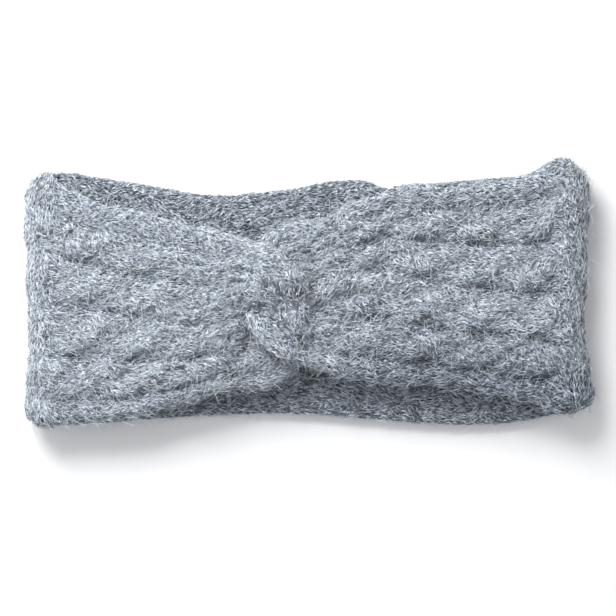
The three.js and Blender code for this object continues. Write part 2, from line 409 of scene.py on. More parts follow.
KNIT_COLUMNS = (
    Column(Kind.EDGE, 13.0, cuts=8, wales=3),
    Column(Kind.GUTTER, 1.5, cuts=1),
    Column(Kind.CABLE, 17.0, cuts=12, wales=2),
    Column(Kind.GUTTER, 1.5, cuts=1),
    Column(Kind.CABLE, 21.0, cuts=14, wales=3),
    Column(Kind.MIDDLE, 1.5, cuts=2),
    Column(Kind.CABLE, 21.0, cuts=14, wales=3),
    Column(Kind.GUTTER, 1.5, cuts=1),
    Column(Kind.CABLE, 17.0, cuts=12, wales=2),
    Column(Kind.GUTTER, 1.5, cuts=1),
    Column(Kind.EDGE, 10.0, cuts=6, wales=3),
)

LEFT_EDGES = (
    EdgeRow(0, 1, 1, 0),
    EdgeRow(0.05, 1.05, 1.07, 0),
    EdgeRow(0.12, 0.9, 1.04, 0),
    EdgeRow(0.3, 0.61, 1, 0.01),
    EdgeRow(0.5, 0.46, 0.88, 0.05),
    EdgeRow(0.7, 0.27, 0.49, 0.08),
    EdgeRow(0.85, 0.16, 0.21, 0.08),
    EdgeRow(1, 0, 0, 0),
)
RIGHT_EDGES = (
    EdgeRow(0, 1, 1, 0),
    EdgeRow(0.08, 1.11, 1.2, 0),
    EdgeRow(0.13, 1, 1.12, 0),
    EdgeRow(0.2, 0.85, 0.92, 0),
    EdgeRow(0.35, 0.67, 0.81, 0.02),
    EdgeRow(0.55, 0.53, 0.72, 0.08),
    EdgeRow(0.72, 0.42, 0.64, 0.17),
    EdgeRow(0.79, 0.37, 0.46, 0.17),
    EdgeRow(0.9, 0.21, 0.29, 0.1),
    EdgeRow(1, 0, 0, 0),
)
BACK_EDGES = (
    BackRow(0, 1, 1),
    BackRow(0.03, 1.05, 1.02),
    BackRow(0.15, 0.98, 1.01),
    BackRow(0.33, 0.84, 0.99),
    BackRow(0.46, 0.88, 0.99),
    BackRow(0.59, 0.95, 1.04),
    BackRow(0.66, 0.86, 1.08),
    BackRow(0.79, 0.88, 1.13),
    BackRow(0.9, 0.95, 1.11),
    BackRow(0.97, 1.04, 1.04),
    BackRow(1, 1, 1),
)
LEFT_FOLD = (
    FoldRow(0, 0.05),
    FoldRow(0.06, 0.006),
    FoldRow(0.16, -0.015),
    FoldRow(0.3, 0.006),
    FoldRow(0.45, 0.006),
    FoldRow(0.65, 0.023),
    FoldRow(0.85, 0.004),
    FoldRow(0.95, -0.006),
    FoldRow(1, 0.04),
)
RIGHT_FOLD = (
    FoldRow(0, 0.01),
    FoldRow(0.05, -0.038),
    FoldRow(0.12, -0.015),
    FoldRow(0.25, 0.015),
    FoldRow(0.38, 0.043),
    FoldRow(0.5, 0.028),
    FoldRow(0.75, 0.011),
    FoldRow(0.85, -0.006),
    FoldRow(0.95, 0.006),
    FoldRow(1, 0.047),
)


def ease(value: Array, start: float, end: float) -> Array:
    """A smooth step from 0 at start to 1 at end."""
    share = np.clip((value - start) / (end - start), 0, 1)
    return share * share * (3 - 2 * share)


def mix(a: Any, b: Any, share: Any) -> Any:
    """The value that lies a share of the way from a to b."""
    return a + (b - a) * share


def hump(distance: Array, reach: float) -> Array:
    """1 at no distance, falling off smoothly past the reach."""
    return np.exp(-((distance / reach) ** 2))


def between(rows: tuple, key: str, value: str, at: Array) -> Array:
    """A smooth value between the rows of a table.

    Args:
        rows: the table's rows.
        key: the column that holds each row's place, in rising order.
        value: the column to read.
        at: the places to read it at.

    Returns:
        The value at each place, on a cubic curve through the rows.
    """
    places = np.array([getattr(row, key) for row in rows], float)
    values = np.array([getattr(row, value) for row in rows], float)
    at = np.clip(at, places[0], places[-1])
    after = np.clip(np.searchsorted(places, at, side="right"), 1, len(places) - 1)
    start, end = places[after - 1], places[after]
    before_start = np.where(after > 1, after - 2, after)
    after_end = np.where(after < len(places) - 1, np.minimum(after + 1, len(places) - 1), after - 1)
    t = (at - start) / (end - start)
    # The curve's slope at a row is the mean of the slopes to its two neighbours.
    low = (end - start) / 2 / (start - places[before_start])
    high = (end - start) / 2 / (places[after_end] - end)
    weights = (
        -low * t**3 + 2 * low * t**2 - low * t,
        (1 + low) * t**3 + (-1.5 - 2 * low) * t**2 + (-0.5 + low) * t + 1,
        (-1 - high) * t**3 + (1.5 + high) * t**2 + 0.5 * t,
        high * t**3 - high * t**2,
    )
    near = (before_start, after - 1, after, after_end)
    return sum(weight * values[index] for weight, index in zip(weights, near))


@dataclass(frozen=True)
class Wrinkle:
    """A soft fold in the knit.

    Attributes:
        line: the points that it runs through as seen from above, in the panels' own millimetres.
        rise: how far it stands out, or how deep it is where that is negative.
        reach: how far it reaches to each side.
    """

    line: tuple[tuple[float, float], ...]
    rise: float
    reach: float

    def lift(self, points: Array) -> Array:
        """How far it lifts the knit.

        Args:
            points: where, as rows of x, y, z.

        Returns:
            The lift at each point.
        """
        place = points[..., :2]
        nearest = np.full(place.shape[:-1], np.inf)
        for start, end in zip(np.array(self.line), np.array(self.line[1:])):
            way = end - start
            share = np.clip((place - start) @ way / (way @ way), 0, 1)
            distance = np.linalg.norm(place - start - share[..., None] * way, axis=-1)
            nearest = np.minimum(nearest, distance)
        return self.rise * hump(nearest, self.reach)


LEFT_WRINKLES = (
    Wrinkle(((-75, 37), (-45, 30.5), (-24, 22.5), (-6, 11), (3, 2)), 1.3, 3.6),
    Wrinkle(((-33, -10), (-27, -21)), -0.9, 3.5),
    Wrinkle(((-25, -25), (-14, -29)), -0.6, 3.0),
)
RIGHT_WRINKLES = (
    Wrinkle(((0, -1), (17, 5.5), (33, 7.5), (50, 3)), 1.7, 3.2),
    Wrinkle(((4, -5.5), (16, -1.5), (30, 1)), -1.0, 2.2),
    Wrinkle(((-24, -8), (-22.5, -18), (-12, -25), (11, -29)), 1.0, 3.4),
)


@dataclass(frozen=True)
class Wale:
    """One line of stitches along the knit.

    Attributes:
        column: the column that it is in.
        start: how far that column is from the first edge.
        place: its place in the column, from 1 at the column's first side to -1 at its other one, or in
            a cable's strand, from the strand's middle.
        phase: the turn of the strand that it is in, or None on an edge.
        width: the width of the wale.
    """

    column: Column
    start: float
    place: float
    phase: float | None
    width: float


class Knit:
    """The knit across the band: where its columns lie, and how far they stand out."""

    def __init__(self, top_first: bool, first_crossing: float, lean: int = 1) -> None:
        """Sets the columns out.

        Args:
            top_first: whether the columns are counted from the band's top edge.
            first_crossing: how far along the knit the first crossing of its cables is.
            lean: 1 where the crossing strands rise along the knit towards its first edge, -1 where they
                fall.
        """
        self.columns = KNIT_COLUMNS if top_first else KNIT_COLUMNS[::-1]
        self.starts = np.concatenate([[0], np.cumsum([column.width for column in self.columns])])
        self.width = float(self.starts[-1])
        self.first_crossing = first_crossing
        self.lean = lean
        middle = next(i for i, column in enumerate(self.columns) if column.kind is Kind.MIDDLE)
        self.middle = float(self.starts[middle] + self.columns[middle].width / 2) / self.width

    def cuts(self) -> Array:
        """Divides the knit for a wall.

        Returns:
            The shares across the knit at which a wall is cut.
        """
        cuts = [0.0]
        for start, column in zip(self.starts, self.columns):
            steps = range(1, column.cuts + 1)
            cuts += [(start + column.width * i / column.cuts) / self.width for i in steps]
        return np.array(cuts)

    def turn(self, along: Array) -> Array:
        """How far the strands of the cables have turned, in radians."""
        crossings = (along - self.first_crossing) / BAND.crossing_pitch
        return self.lean * (crossings + 0.5 * self.lean) * math.pi

    def strand_rise(self, off: Array, angle: Array) -> Array:
        """How far one strand of a cable stands out.

        Args:
            off: the distance from the strand's middle, as a share of half the cable.
            angle: how far the strand has turned.

        Returns:
            The rise in millimetres, and 0 beside the strand.
        """
        lift = (1 + np.sin(angle)) / 2
        round_share = np.sqrt(np.clip(1 - (off / BAND.strand_half) ** 2, 0, 1))
        rise = BAND.crossing_lift * lift + (1 - BAND.crossing_lift) * round_share
        return np.where(np.abs(off) < BAND.strand_half, rise, 0) * BAND.cable_rise

    def relief(self, share: Array, along: Array) -> Array:
        """How far the knit stands out of its plain wall.

        Args:
            share: shares across the knit.
            along: lengths along it.

        Returns:
            The rise at each place.
        """
        share, along = np.broadcast_arrays(share, along)
        rise = np.zeros(share.shape)
        place = share * self.width
        for start, column in zip(self.starts, self.columns):
            inside = (place >= start) & (place <= start + column.width)
            within = (place - start) / column.width
            if column.kind is Kind.EDGE:
                rise = np.where(inside, BAND.edge_rise * np.sin(math.pi * np.clip(within, 0, 1)), rise)
            elif column.kind is Kind.CABLE:
                across = 1 - 2 * within
                for phase in (0, math.pi):
                    angle = self.turn(along) + phase
                    strand = self.strand_rise(across + BAND.strand_swing * np.cos(angle), angle)
                    rise = np.where(inside, np.maximum(rise, strand), rise)
        return rise

    def brushed(self, share: Array, along: Array, steady: float) -> tuple[Array, Array]:
        """The surface of the brushed fibres, which fill the dents in a cable but not the gutters.

        Args:
            share: shares across the knit.
            along: lengths along it.
            steady: how deep the gutters are on average, from 0 to 1.

        Returns:
            How far the surface stands out of the plain wall, and how deep in a gutter it is, from 0
            to 1.
        """
        share, along = np.broadcast_arrays(share, along)
        place = share * self.width
        rise = np.full(share.shape, BRUSH.ground)
        gutter = np.zeros(share.shape)
        kinds = [column.kind for column in self.columns]
        for index, (start, column) in enumerate(zip(self.starts, self.columns)):
            if column.kind in (Kind.GUTTER, Kind.MIDDLE):
                turn = self.turn(along)
                line = start + column.width / 2 + BRUSH.gutter_sway * np.cos(turn + start)
                wave = np.cos(BRUSH.gutter_beat * turn + BRUSH.gutter_delay * start)
                depth = np.clip(steady + BRUSH.gutter_waver * wave, 0, 1)
                depth = depth * (BRUSH.edge_gutter if Kind.EDGE in kinds[index - 1:index + 2] else 1)
                gutter = np.maximum(gutter, hump(place - line, BRUSH.gutter_reach) * depth)
            if column.kind is Kind.CABLE:
                across = np.clip(np.abs(2 * (place - start) / column.width - 1), 0, 1)
                rise = np.maximum(rise, BRUSH.ground + BRUSH.cable_body * (1 - across**3))
        shown = BRUSH.relief_base + BRUSH.relief_share * self.relief(share, along)
        return np.maximum(rise, shown), gutter

    def wales(self) -> list[Wale]:
        """Sets out the lines of stitches.

        Returns:
            The wales, from the first edge to the other.
        """
        wales = []
        for start, column in zip(self.starts, self.columns):
            if column.kind is Kind.EDGE:
                width = column.width / column.wales
                places = [1 - 2 * (i + 0.5) / column.wales for i in range(column.wales)]
                wales += [Wale(column, start, place, None, width) for place in places]
            if column.kind is Kind.CABLE:
                width = column.width * BAND.strand_half / column.wales
                shares = [1 - 2 * (i + 0.5) / column.wales for i in range(column.wales)]
                places = [BAND.strand_half * share for share in shares]
                for phase in (0, math.pi):
                    wales += [Wale(column, start, place, phase, width) for place in places]
        return wales

    def wale_at(self, wale: Wale, along: Array) -> tuple[Array, Array]:
        """Where a wale lies.

        Args:
            wale: the wale.
            along: lengths along the knit.

        Returns:
            The share across the knit, and how far the wale stands out there.
        """
        if wale.phase is None:
            across = np.full_like(along, wale.place)
            within = (1 - across) / 2
            rise = BAND.edge_rise * np.sin(math.pi * np.clip(within, 0, 1))
        else:
            angle = self.turn(along) + wale.phase
            across = wale.place - BAND.strand_swing * np.cos(angle)
            within = (1 - across) / 2
            rise = self.strand_rise(np.full_like(along, wale.place), angle)
        return (wale.start + within * wale.column.width) / self.width, rise

    def edge_turn(self, share: Array) -> Array:
        """How far a skin turns in near an edge, by up to a third of the wall."""
        from_edge = np.minimum(share, 1 - share) * self.width
        return BAND.knit_wall / 3 * (1 - np.clip(from_edge / BAND.edge_rounding, 0, 1)) ** 2

    def skin_height(self, share: Array, skin: Skin, stands_out: Array) -> Array:
        """How far out from the plain outer wall a skin lies that stands out of its own side so far."""
        turn = self.edge_turn(share)
        return stands_out - turn if skin is Skin.OUTER else turn - BAND.knit_wall - stands_out


class FrontHalf:
    """A front half of the loop.

    It is hooked over the other half on one side of the twist, and tucked under it on the other.
    """

    def __init__(
        self,
        name: str,
        facing: int,
        corners: tuple[float, float],
        edges: tuple[EdgeRow, ...],
        fold: tuple[FoldRow, ...],
        hook: tuple[float, float],
        first_crossing: float,
    ) -> None:
        """Sets the half out.

        Args:
            name: the name of the panel.
            facing: 1 for the half whose fold is on the left, -1 for the one that is turned half round.
            corners: where the hooked and the tucked edge leave the fold, as shares of half the band's
                width.
            edges: the table of its edges.
            fold: the table of its fold's line.
            hook: how far the hooked edge is from the turning point, where it enters the twist and where
                it ends.
            first_crossing: how far along the knit the first crossing of its cables is.
        """
        self.name = name
        self.facing = facing
        self.hooked_corner, self.tucked_corner = (share * BAND.half_width for share in corners)
        self.edges = edges
        self.fold = fold
        self.hook_entry, self.hook_exit = hook
        self.knit = Knit(top_first=facing > 0, first_crossing=first_crossing)
        self.turning_point = np.array([TWIST.x, TWIST.y]) - facing * TWIST.offset
        self.fold_x = -BAND.flat_length / 2 - facing * self.turning_point[0]
        self.web_length = BAND.fold_length - BAND.fold_radius - self.fold_x
        self.turn_length = self.hook_entry * (TWIST.entry - TWIST.exit)
        self.length = self.web_length + self.turn_length

    def _web_plan(self, way: Array, share: Array, hooked: Array, outward: Array) -> tuple[Array, Array]:
        """Where the wall between the fold and the turn lies, seen from above.

        Args:
            way: shares of the way from the fold to the turn.
            share: shares across the knit from the hooked edge.
            hooked: whether each point is on the hooked side of the middle.
            outward: shares of the way from the middle to that side's edge.

        Returns:
            The x and the y of each point.
        """
        shift = self.facing * self.turning_point[1]
        corner = np.where(hooked, self.hooked_corner, -self.tucked_corner) - shift
        corner_middle = mix(self.hooked_corner, -self.tucked_corner, self.knit.middle) - shift
        reach = np.where(hooked, self.hook_entry, -TWIST.tuck_reach)
        drawn_in = np.where(
            hooked,
            between(self.edges, "along", "hooked", way),
            between(self.edges, "along", "tucked", way),
        )
        edge_x = mix(self.fold_x, reach * math.cos(TWIST.entry), way)
        edge_y = mix(reach * math.sin(TWIST.entry), corner, drawn_in)
        middle_x = mix(self.fold_x, 0, way)
        sag = between(self.edges, "along", "middle", way)
        middle_y = mix(corner_middle, 0, way) - BAND.half_width * sag
        fade = np.clip(1 - way / BAND.fold_reach, 0, 1) ** 2
        inset = BAND.half_width * between(self.fold, "across", "inset", share) * fade
        return mix(middle_x, edge_x, outward) + inset, mix(middle_y, edge_y, outward)

    def _turn_plan(self, sweep: Array, hooked: Array, outward: Array) -> tuple[Array, Array]:
        """Where the wall that goes round the turning point lies, seen from above.

        Args:
            sweep: shares of the way round.
            hooked: whether each point is on the hooked side of the middle.
            outward: shares of the way from the middle to that side's edge.

        Returns:
            The x and the y of each point.
        """
        angle = np.where(
            hooked,
            mix(TWIST.entry, TWIST.exit, sweep),
            TWIST.entry - math.pi + TWIST.tuck_sweep * sweep,
        )
        drawn_in = ease(sweep, TWIST.tuck_shown, 1)
        tucked_reach = mix(TWIST.tuck_reach, TWIST.tuck_end_reach, drawn_in)
        reach = np.where(hooked, mix(self.hook_entry, self.hook_exit, sweep), tucked_reach) * outward
        return reach * np.cos(angle), reach * np.sin(angle)

    def point(self, along: Array, share: Array, skin: Skin, rise: Array) -> Array:
        """Points of the panel.

        Args:
            along: lengths along the knit from the seam.
            share: shares across the knit from the hooked edge.
            skin: the side of the wall.
            rise: how far the knit stands out of the plain wall there.

        Returns:
            One row of x, y, z for each point, in millimetres.
        """
        along, share, rise = np.broadcast_arrays(np.asarray(along, float), share, rise)
        middle = self.knit.middle
        hooked = share < middle
        outward = np.where(hooked, 1 - share / middle, (share - middle) / (1 - middle))
        tilt = np.clip(along / BAND.fold_radius, 0, math.pi / 2)
        in_fold = along < BAND.fold_length
        advance = np.where(
            in_fold, BAND.fold_radius * (1 - np.cos(tilt)), BAND.fold_radius + along - BAND.fold_length
        )
        web_x, web_y = self._web_plan(np.clip(-advance / self.fold_x, 0, 1), share, hooked, outward)
        turned = (along - self.web_length) / self.turn_length
        turn_x, turn_y = self._turn_plan(np.clip(turned, 0, None), hooked, outward)
        x = np.where(turned < 0, web_x, turn_x)
        y = np.where(turned < 0, web_y, turn_y)

        from_turn = np.hypot(x, y)
        eased = ease(from_turn, 0, TWIST.easing)
        direction = np.abs(np.arctan2(y, x))
        lift = TWIST.hook_lift * (1 - ease(direction, TWIST.lift_full, TWIST.lift_start)) * eased
        dip = TWIST.tuck_dip * (1 - ease(direction, TWIST.dip_full, TWIST.dip_start)) * eased
        arch_height = TWIST.arch - TWIST.edge_droop * outward**2
        arch = hump(x - TWIST.offset[0], TWIST.arch_reach) * arch_height
        bow = arch + np.where(hooked, lift, -dip)
        lean_x = x * math.cos(TWIST.lean) + y * math.sin(TWIST.lean)
        lean_y = y * math.cos(TWIST.lean) - x * math.sin(TWIST.lean)
        crease = np.where(hooked, hump(lean_y, TWIST.crease_reach) * ease(lean_x, 0, TWIST.easing), 0)
        pinched = mix(eased, 1, ease(-x, 0, TWIST.easing))
        stands_out = rise * pinched * (1 - crease) - TWIST.crease_dip * crease
        height = self.knit.skin_height(share, skin, stands_out if skin is Skin.OUTER else rise)
        seam = BAND.seam_gap / 2 * np.cos(tilt)
        z = BAND.fold_centre + seam + (BAND.fold_radius + height) * np.sin(tilt) + bow
        local_x = x - height * np.cos(tilt)
        across, up = self.turning_point
        return np.stack([across + self.facing * local_x, up + self.facing * y, z], axis=-1)

    def shown(self, along: Array, share: Array) -> Array:
        """Which points aren't tucked out of sight under the other half."""
        sweep = (along - self.web_length) / self.turn_length
        return (share < self.knit.middle) | (sweep < TWIST.tuck_shown + TWIST.tuck_margin)


class BackPanel:
    """The back of the loop, which lies on the surface."""

    name = "back_panel"

    def __init__(self, left: FrontHalf, right: FrontHalf) -> None:
        """Sets the back out between the folds that it shares with the front halves.

        Args:
            left: the left front half.
            right: the right one.
        """
        self.left = left
        self.right = right
        self.knit = Knit(top_first=True, first_crossing=-BAND.back_first_crossing, lean=-1)
        self.length = 2 * BAND.fold_length + BAND.flat_length - 2 * BAND.fold_radius

    def point(self, along: Array, share: Array, skin: Skin, rise: Array) -> Array:
        """Points of the panel.

        Args:
            along: lengths along the knit from the left seam.
            share: shares across the knit from the top edge.
            skin: the side of the wall.
            rise: how far the knit stands out of the plain wall there.

        Returns:
            One row of x, y, z for each point, in millimetres.
        """
        along, share, rise = np.broadcast_arrays(np.asarray(along, float), share, rise)
        from_seam = np.minimum(along, self.length - along)
        on_left = along < self.length / 2
        side = np.where(on_left, -1, 1)
        tilt = np.clip(from_seam / BAND.fold_radius, 0, math.pi / 2)
        advance = np.where(
            from_seam < BAND.fold_length,
            BAND.fold_radius * (1 - np.cos(tilt)),
            BAND.fold_radius + from_seam - BAND.fold_length,
        )
        x = side * (BAND.flat_length / 2 - advance)
        way = x / BAND.flat_length + 0.5
        top_line = mix(self.left.hooked_corner, self.right.tucked_corner, way)
        bottom_line = mix(self.left.tucked_corner, self.right.hooked_corner, way)
        top = top_line * between(BACK_EDGES, "along", "top", way)
        bottom = bottom_line * between(BACK_EDGES, "along", "bottom", way)
        fold_x = np.where(on_left, self.left.fold_x, self.right.fold_x)
        fade = np.clip(1 + advance / fold_x / BAND.fold_reach, 0, 1) ** 2
        inset = np.where(
            on_left,
            between(self.left.fold, "across", "inset", share),
            between(self.right.fold, "across", "inset", 1 - share),
        )
        height = self.knit.skin_height(share, skin, rise)
        seam = BAND.seam_gap / 2 * np.cos(tilt)
        z = BAND.fold_centre - seam - (BAND.fold_radius + height) * np.sin(tilt)
        out = side * (height * np.cos(tilt) - BAND.half_width * inset * fade)
        return np.stack([x + out, mix(top, -bottom, share), np.maximum(z, 0)], axis=-1)


def unit(vectors: Array) -> Array:
    """The vectors, each made 1 long."""
    return vectors / np.maximum(np.linalg.norm(vectors, axis=-1, keepdims=True), 1e-9)


def sideways(surface: FrontHalf | BackPanel, along: Array, share: Array, skin: Skin) -> Array:
    """The way across a panel's plain knit, from its first edge to the other.

    Args:
        surface: where the panel's knit lies.
        along: lengths along the knit.
        share: shares across it.
        skin: the side of the wall.

    Returns:
        One unit vector for each place.
    """
    step = STITCH.sidestep / surface.knit.width
    ahead = surface.point(along, np.minimum(share + step, 1), skin, 0.0)
    return unit(ahead - surface.point(along, np.maximum(share - step, 0), skin, 0.0))


def mesh_object(name: str, points: Array, faces: list[Face]) -> bpy.types.Object:
    """A new mesh object in the scene.

    Args:
        name: the object's name.
        points: its points, in metres.
        faces: its faces.

    Returns:
        The object.
    """
    mesh = bpy.data.meshes.new(name)
    mesh.from_pydata(points.tolist(), [], faces)
    mesh.update()
    made = bpy.data.objects.new(name, mesh)
    bpy.context.scene.collection.objects.link(made)
    return made


def add_attribute(mesh: bpy.types.Mesh, name: str, values: Array) -> None:
    """Gives each point of a mesh a number or a vector.

    Args:
        mesh: the mesh.
        name: the attribute's name.
        values: the numbers, or rows of three for vectors.
    """
    kind, field = ("FLOAT_VECTOR", "vector") if values.ndim == 2 else ("FLOAT", "value")
    layer = mesh.attributes.new(name, kind, "POINT")
    layer.data.foreach_set(field, np.ascontiguousarray(values, dtype=np.float32).ravel())


def shade_smooth(mesh: bpy.types.Mesh) -> None:
    """Makes all of a mesh's faces smooth."""
    mesh.polygons.foreach_set("use_smooth", [True] * len(mesh.polygons))


def add_node(
    tree: bpy.types.NodeTree, kind: str, inputs: dict[str | int, Any] | None = None, **settings: Any
) -> Any:
    """A new node.

    Args:
        tree: the node tree.
        kind: the node's type.
        inputs: a value or another node's socket for each named or numbered input.
        settings: the node's own settings.

    Returns:
        The node.
    """
    made = tree.nodes.new(kind)
    for key, value in settings.items():
        setattr(made, key, value)
    for key, value in (inputs or {}).items():
        if isinstance(value, bpy.types.NodeSocket):
            tree.links.new(value, made.inputs[key])
        else:
            made.inputs[key].default_value = value
    return made


def named_attribute(tree: bpy.types.NodeTree, name: str, kind: str) -> bpy.types.NodeSocket:
    """The socket that gives a named attribute of some kind."""
    node = add_node(tree, "GeometryNodeInputNamedAttribute", {"Name": name}, data_type=kind)
    return node.outputs["Attribute"]


def wander(
    tree: bpy.types.NodeTree, noise: dict[str, Any], within: tuple[float, float], reach: float
) -> bpy.types.NodeSocket:
    """A number that changes slowly from place to place.

    Args:
        tree: the node tree.
        noise: the inputs of the noise that it follows.
        within: the values between which that noise mostly lies.
        reach: how far it gets from 0, up or down.

    Returns:
        The socket that gives it.
    """
    cloud = add_node(tree, "ShaderNodeTexNoise", noise).outputs["Fac"]
    low, high = within
    span = {"Value": cloud, "From Min": low, "From Max": high, "To Min": -reach, "To Max": reach}
    return add_node(tree, "ShaderNodeMapRange", span, clamp=True).outputs["Result"]


def new_geometry_tree(name: str, inputs: dict[str, str]) -> tuple[Any, Any, Any]:
    """A geometry node tree with named inputs after its geometry.

    Args:
        name: the tree's name.
        inputs: the socket type of each input.

    Returns:
        The tree, its group input node and its group output node.
    """
    tree = bpy.data.node_groups.new(name, "GeometryNodeTree")
    tree.interface.new_socket("Geometry", in_out="INPUT", socket_type="NodeSocketGeometry")
    tree.interface.new_socket("Geometry", in_out="OUTPUT", socket_type="NodeSocketGeometry")
    for key, kind in inputs.items():
        tree.interface.new_socket(key, in_out="INPUT", socket_type=kind)
    return tree, tree.nodes.new("NodeGroupInput"), tree.nodes.new("NodeGroupOutput")


def apply_tree(piece: bpy.types.Object, tree: Any, values: dict[str, Any]) -> None:
    """Runs a geometry node tree on a piece, and leaves the piece a plain mesh.

    Args:
        piece: the object whose mesh goes into the tree.
        tree: the tree.
        values: the value of each named input.
    """
    modifier = piece.modifiers.new(tree.name, "NODES")
    modifier.node_group = tree
    for item in tree.interface.items_tree:
        if item.in_out == "INPUT" and item.name in values:
            modifier[item.identifier] = values[item.name]
    graph = bpy.context.evaluated_depsgraph_get()
    made = bpy.data.meshes.new_from_object(
        piece.evaluated_get(graph), preserve_all_data_layers=True, depsgraph=graph
    )
    piece.modifiers.clear()
    source, piece.data = piece.data, made
    name = source.name
    bpy.data.meshes.remove(source)
    made.name = name


def clear_of_floor(piece: bpy.types.Object, soft: float = 0.9 * MM, rest: float = 0.05 * MM) -> None:
    """Presses what would reach through the floor flat on it, as a band that lies on its back is.

    Args:
        piece: the object.
        soft: the height below which it is pressed.
        rest: the least height that is left.
    """
    mesh = piece.data
    points = np.empty(len(mesh.vertices) * 3, np.float32)
    mesh.vertices.foreach_get("co", points)
    height = points[2::3]
    low = height < soft
    height[low] = rest + (soft - rest) * np.exp((height[low] - soft) / (soft - rest))
    mesh.vertices.foreach_set("co", points)
    mesh.update()


@dataclass(frozen=True)
class YarnFinish:
    """A finish of brushed wool, from its darkest to its lightest yarn.

    Attributes:
        name: the material's name.
        shades: the colours from tone 0 to tone 1, in linear light.
        roughness: how dull it is.
        sheen: how much of the light its short fibres catch.
        mottle: how far the colour wanders from place to place.
        specks: how far it wanders from fibre to fibre.
        bump: how far its surface is roughened, in millimetres.
        grain: how many bumps there are in a millimetre.
        cloud_scale: how many places of one colour there are in a metre.
        cloud_range: the values between which the noise of the places mostly lies.
        speck_grain: how many specks there are in a millimetre.
        speck_range: the values between which the noise of the specks mostly lies.
    """

    name: str
    shades: tuple[tuple[float, float, float], ...]
    roughness: float = 0.85
    sheen: float = 0.2
    mottle: float = 0.05
    specks: float = 0.0
    bump: float = 0.2
    grain: float = 1.6
    cloud_scale: float = 110.0
    cloud_range: tuple[float, float] = (0.3, 0.7)
    speck_grain: float = 2.4
    speck_range: tuple[float, float] = (0.35, 0.65)

    def material(self) -> bpy.types.Material:
        """Makes the finish.

        Returns:
            The material.
        """
        material = bpy.data.materials.new(self.name)
        material.use_nodes = True
        tree = material.node_tree
        tree.nodes.clear()
        place = add_node(tree, "ShaderNodeTexCoord").outputs["Object"]
        tone = add_node(tree, "ShaderNodeAttribute", attribute_name="tone").outputs["Fac"]
        cloud = {"Vector": place, "Scale": self.cloud_scale, "Detail": 3.0, "Roughness": 0.6}
        changes = [wander(tree, cloud, self.cloud_range, self.mottle)]
        if self.specks:
            fine = {"Vector": place, "Scale": self.speck_grain / MM, "Detail": 2.0, "Roughness": 0.7}
            changes.append(wander(tree, fine, self.speck_range, self.specks))
        for change in changes:
            tone = add_node(tree, "ShaderNodeMath", {0: tone, 1: change}, operation="ADD").outputs[0]
        ramp = add_node(tree, "ShaderNodeValToRGB", {"Fac": tone})
        stops = ramp.color_ramp.elements
        while len(stops) < len(self.shades):
            stops.new(0.5)
        for index, shade in enumerate(self.shades):
            stops[index].position = index / (len(self.shades) - 1)
            stops[index].color = (*shade, 1)
        shader = add_node(
            tree,
            "ShaderNodeBsdfPrincipled",
            {
                "Base Color": ramp.outputs["Color"],
                "Roughness": self.roughness,
                "Specular IOR Level": 0.25,
                "Sheen Weight": self.sheen,
                "Sheen Roughness": 0.5,
                "Sheen Tint": (0.86, 0.92, 1.0, 1.0),
            },
        )
        if self.bump:
            noise = {"Vector": place, "Scale": self.grain / MM, "Detail": 2.0}
            grain = add_node(tree, "ShaderNodeTexNoise", noise).outputs["Fac"]
            height = {"Height": grain, "Strength": 0.8, "Distance": self.bump * MM}
            bump = add_node(tree, "ShaderNodeBump", height)
            tree.links.new(bump.outputs["Normal"], shader.inputs["Normal"])
        add_node(tree, "ShaderNodeOutputMaterial", {"Surface": shader.outputs["BSDF"]})
        return material


# The wall is dark, as painted shade under the stitches and fibres.
WALL_FINISH = YarnFinish(
    "wool_ground",
    shades=((0.04, 0.047, 0.058), (0.09, 0.104, 0.122), (0.17, 0.192, 0.225)),
    specks=0.3,
    bump=0.4,
)
# The stitches are darker than the fibres, as painted shade between the fibres.
STITCH_FINISH = YarnFinish(
    "wool_stitches",
    shades=((0.03, 0.036, 0.045), (0.1, 0.114, 0.134), (0.3, 0.335, 0.38)),
    specks=0.4,
)
FIBRE_FINISH = YarnFinish(
    "brushed_fibres",
    shades=((0.068, 0.082, 0.102), (0.285, 0.33, 0.39), (0.54, 0.6, 0.67), (0.79, 0.83, 0.87)),
    roughness=0.7,
    mottle=0.03,
    specks=0.15,
    bump=0,
)


def spindle_faces(rings: int, sides: int) -> list[Face]:
    """The faces of a shape that runs from a point through rings of points to another point.

    Args:
        rings: how many rings it has.
        sides: how many points each ring has.

    Returns:
        The faces.
    """
    last = rings * sides + 1
    last_ring = (rings - 1) * sides
    faces: list[Face] = []
    for side in range(sides):
        here, following = 1 + side, 1 + (side + 1) % sides
        faces.append((0, here, following))
        for ring in range(0, last_ring, sides):
            after = ring + sides
            faces.append((here + ring, here + after, following + after, following + ring))
        faces.append((here + last_ring, last, following + last_ring))
    return faces


@dataclass(frozen=True)
class Lens:
    """A plump piece of yarn that is pointed at both ends, through two rings.

    Attributes:
        line: its two points and the two rings' middles between them, from end to end.
        radii: the two rings' radii, in the plane of the knit and out of it.
    """

    line: tuple[tuple[float, float, float], ...]
    radii: tuple[tuple[float, float], ...]

    def build(self, sides: int) -> tuple[list[Array], list[Face]]:
        """Makes the piece of yarn.

        Args:
            sides: how many sides it has round it.

        Returns:
            Its points and its faces.
        """
        line = [np.array(point) for point in self.line]
        points = [line[0]]
        for index, (flat, out) in enumerate(self.radii, start=1):
            ahead = unit(line[index + 1] - line[index - 1])
            across = unit(np.cross(ahead, np.array([0.0, 0.0, 1.0])))
            up = np.cross(across, ahead)
            for side in range(sides):
                turn = 2 * math.pi * side / sides
                off = across * flat * math.cos(turn) + up * out * math.sin(turn)
                points.append(line[index] + off)
        points.append(line[-1])
        return points, spindle_faces(len(self.radii), sides)


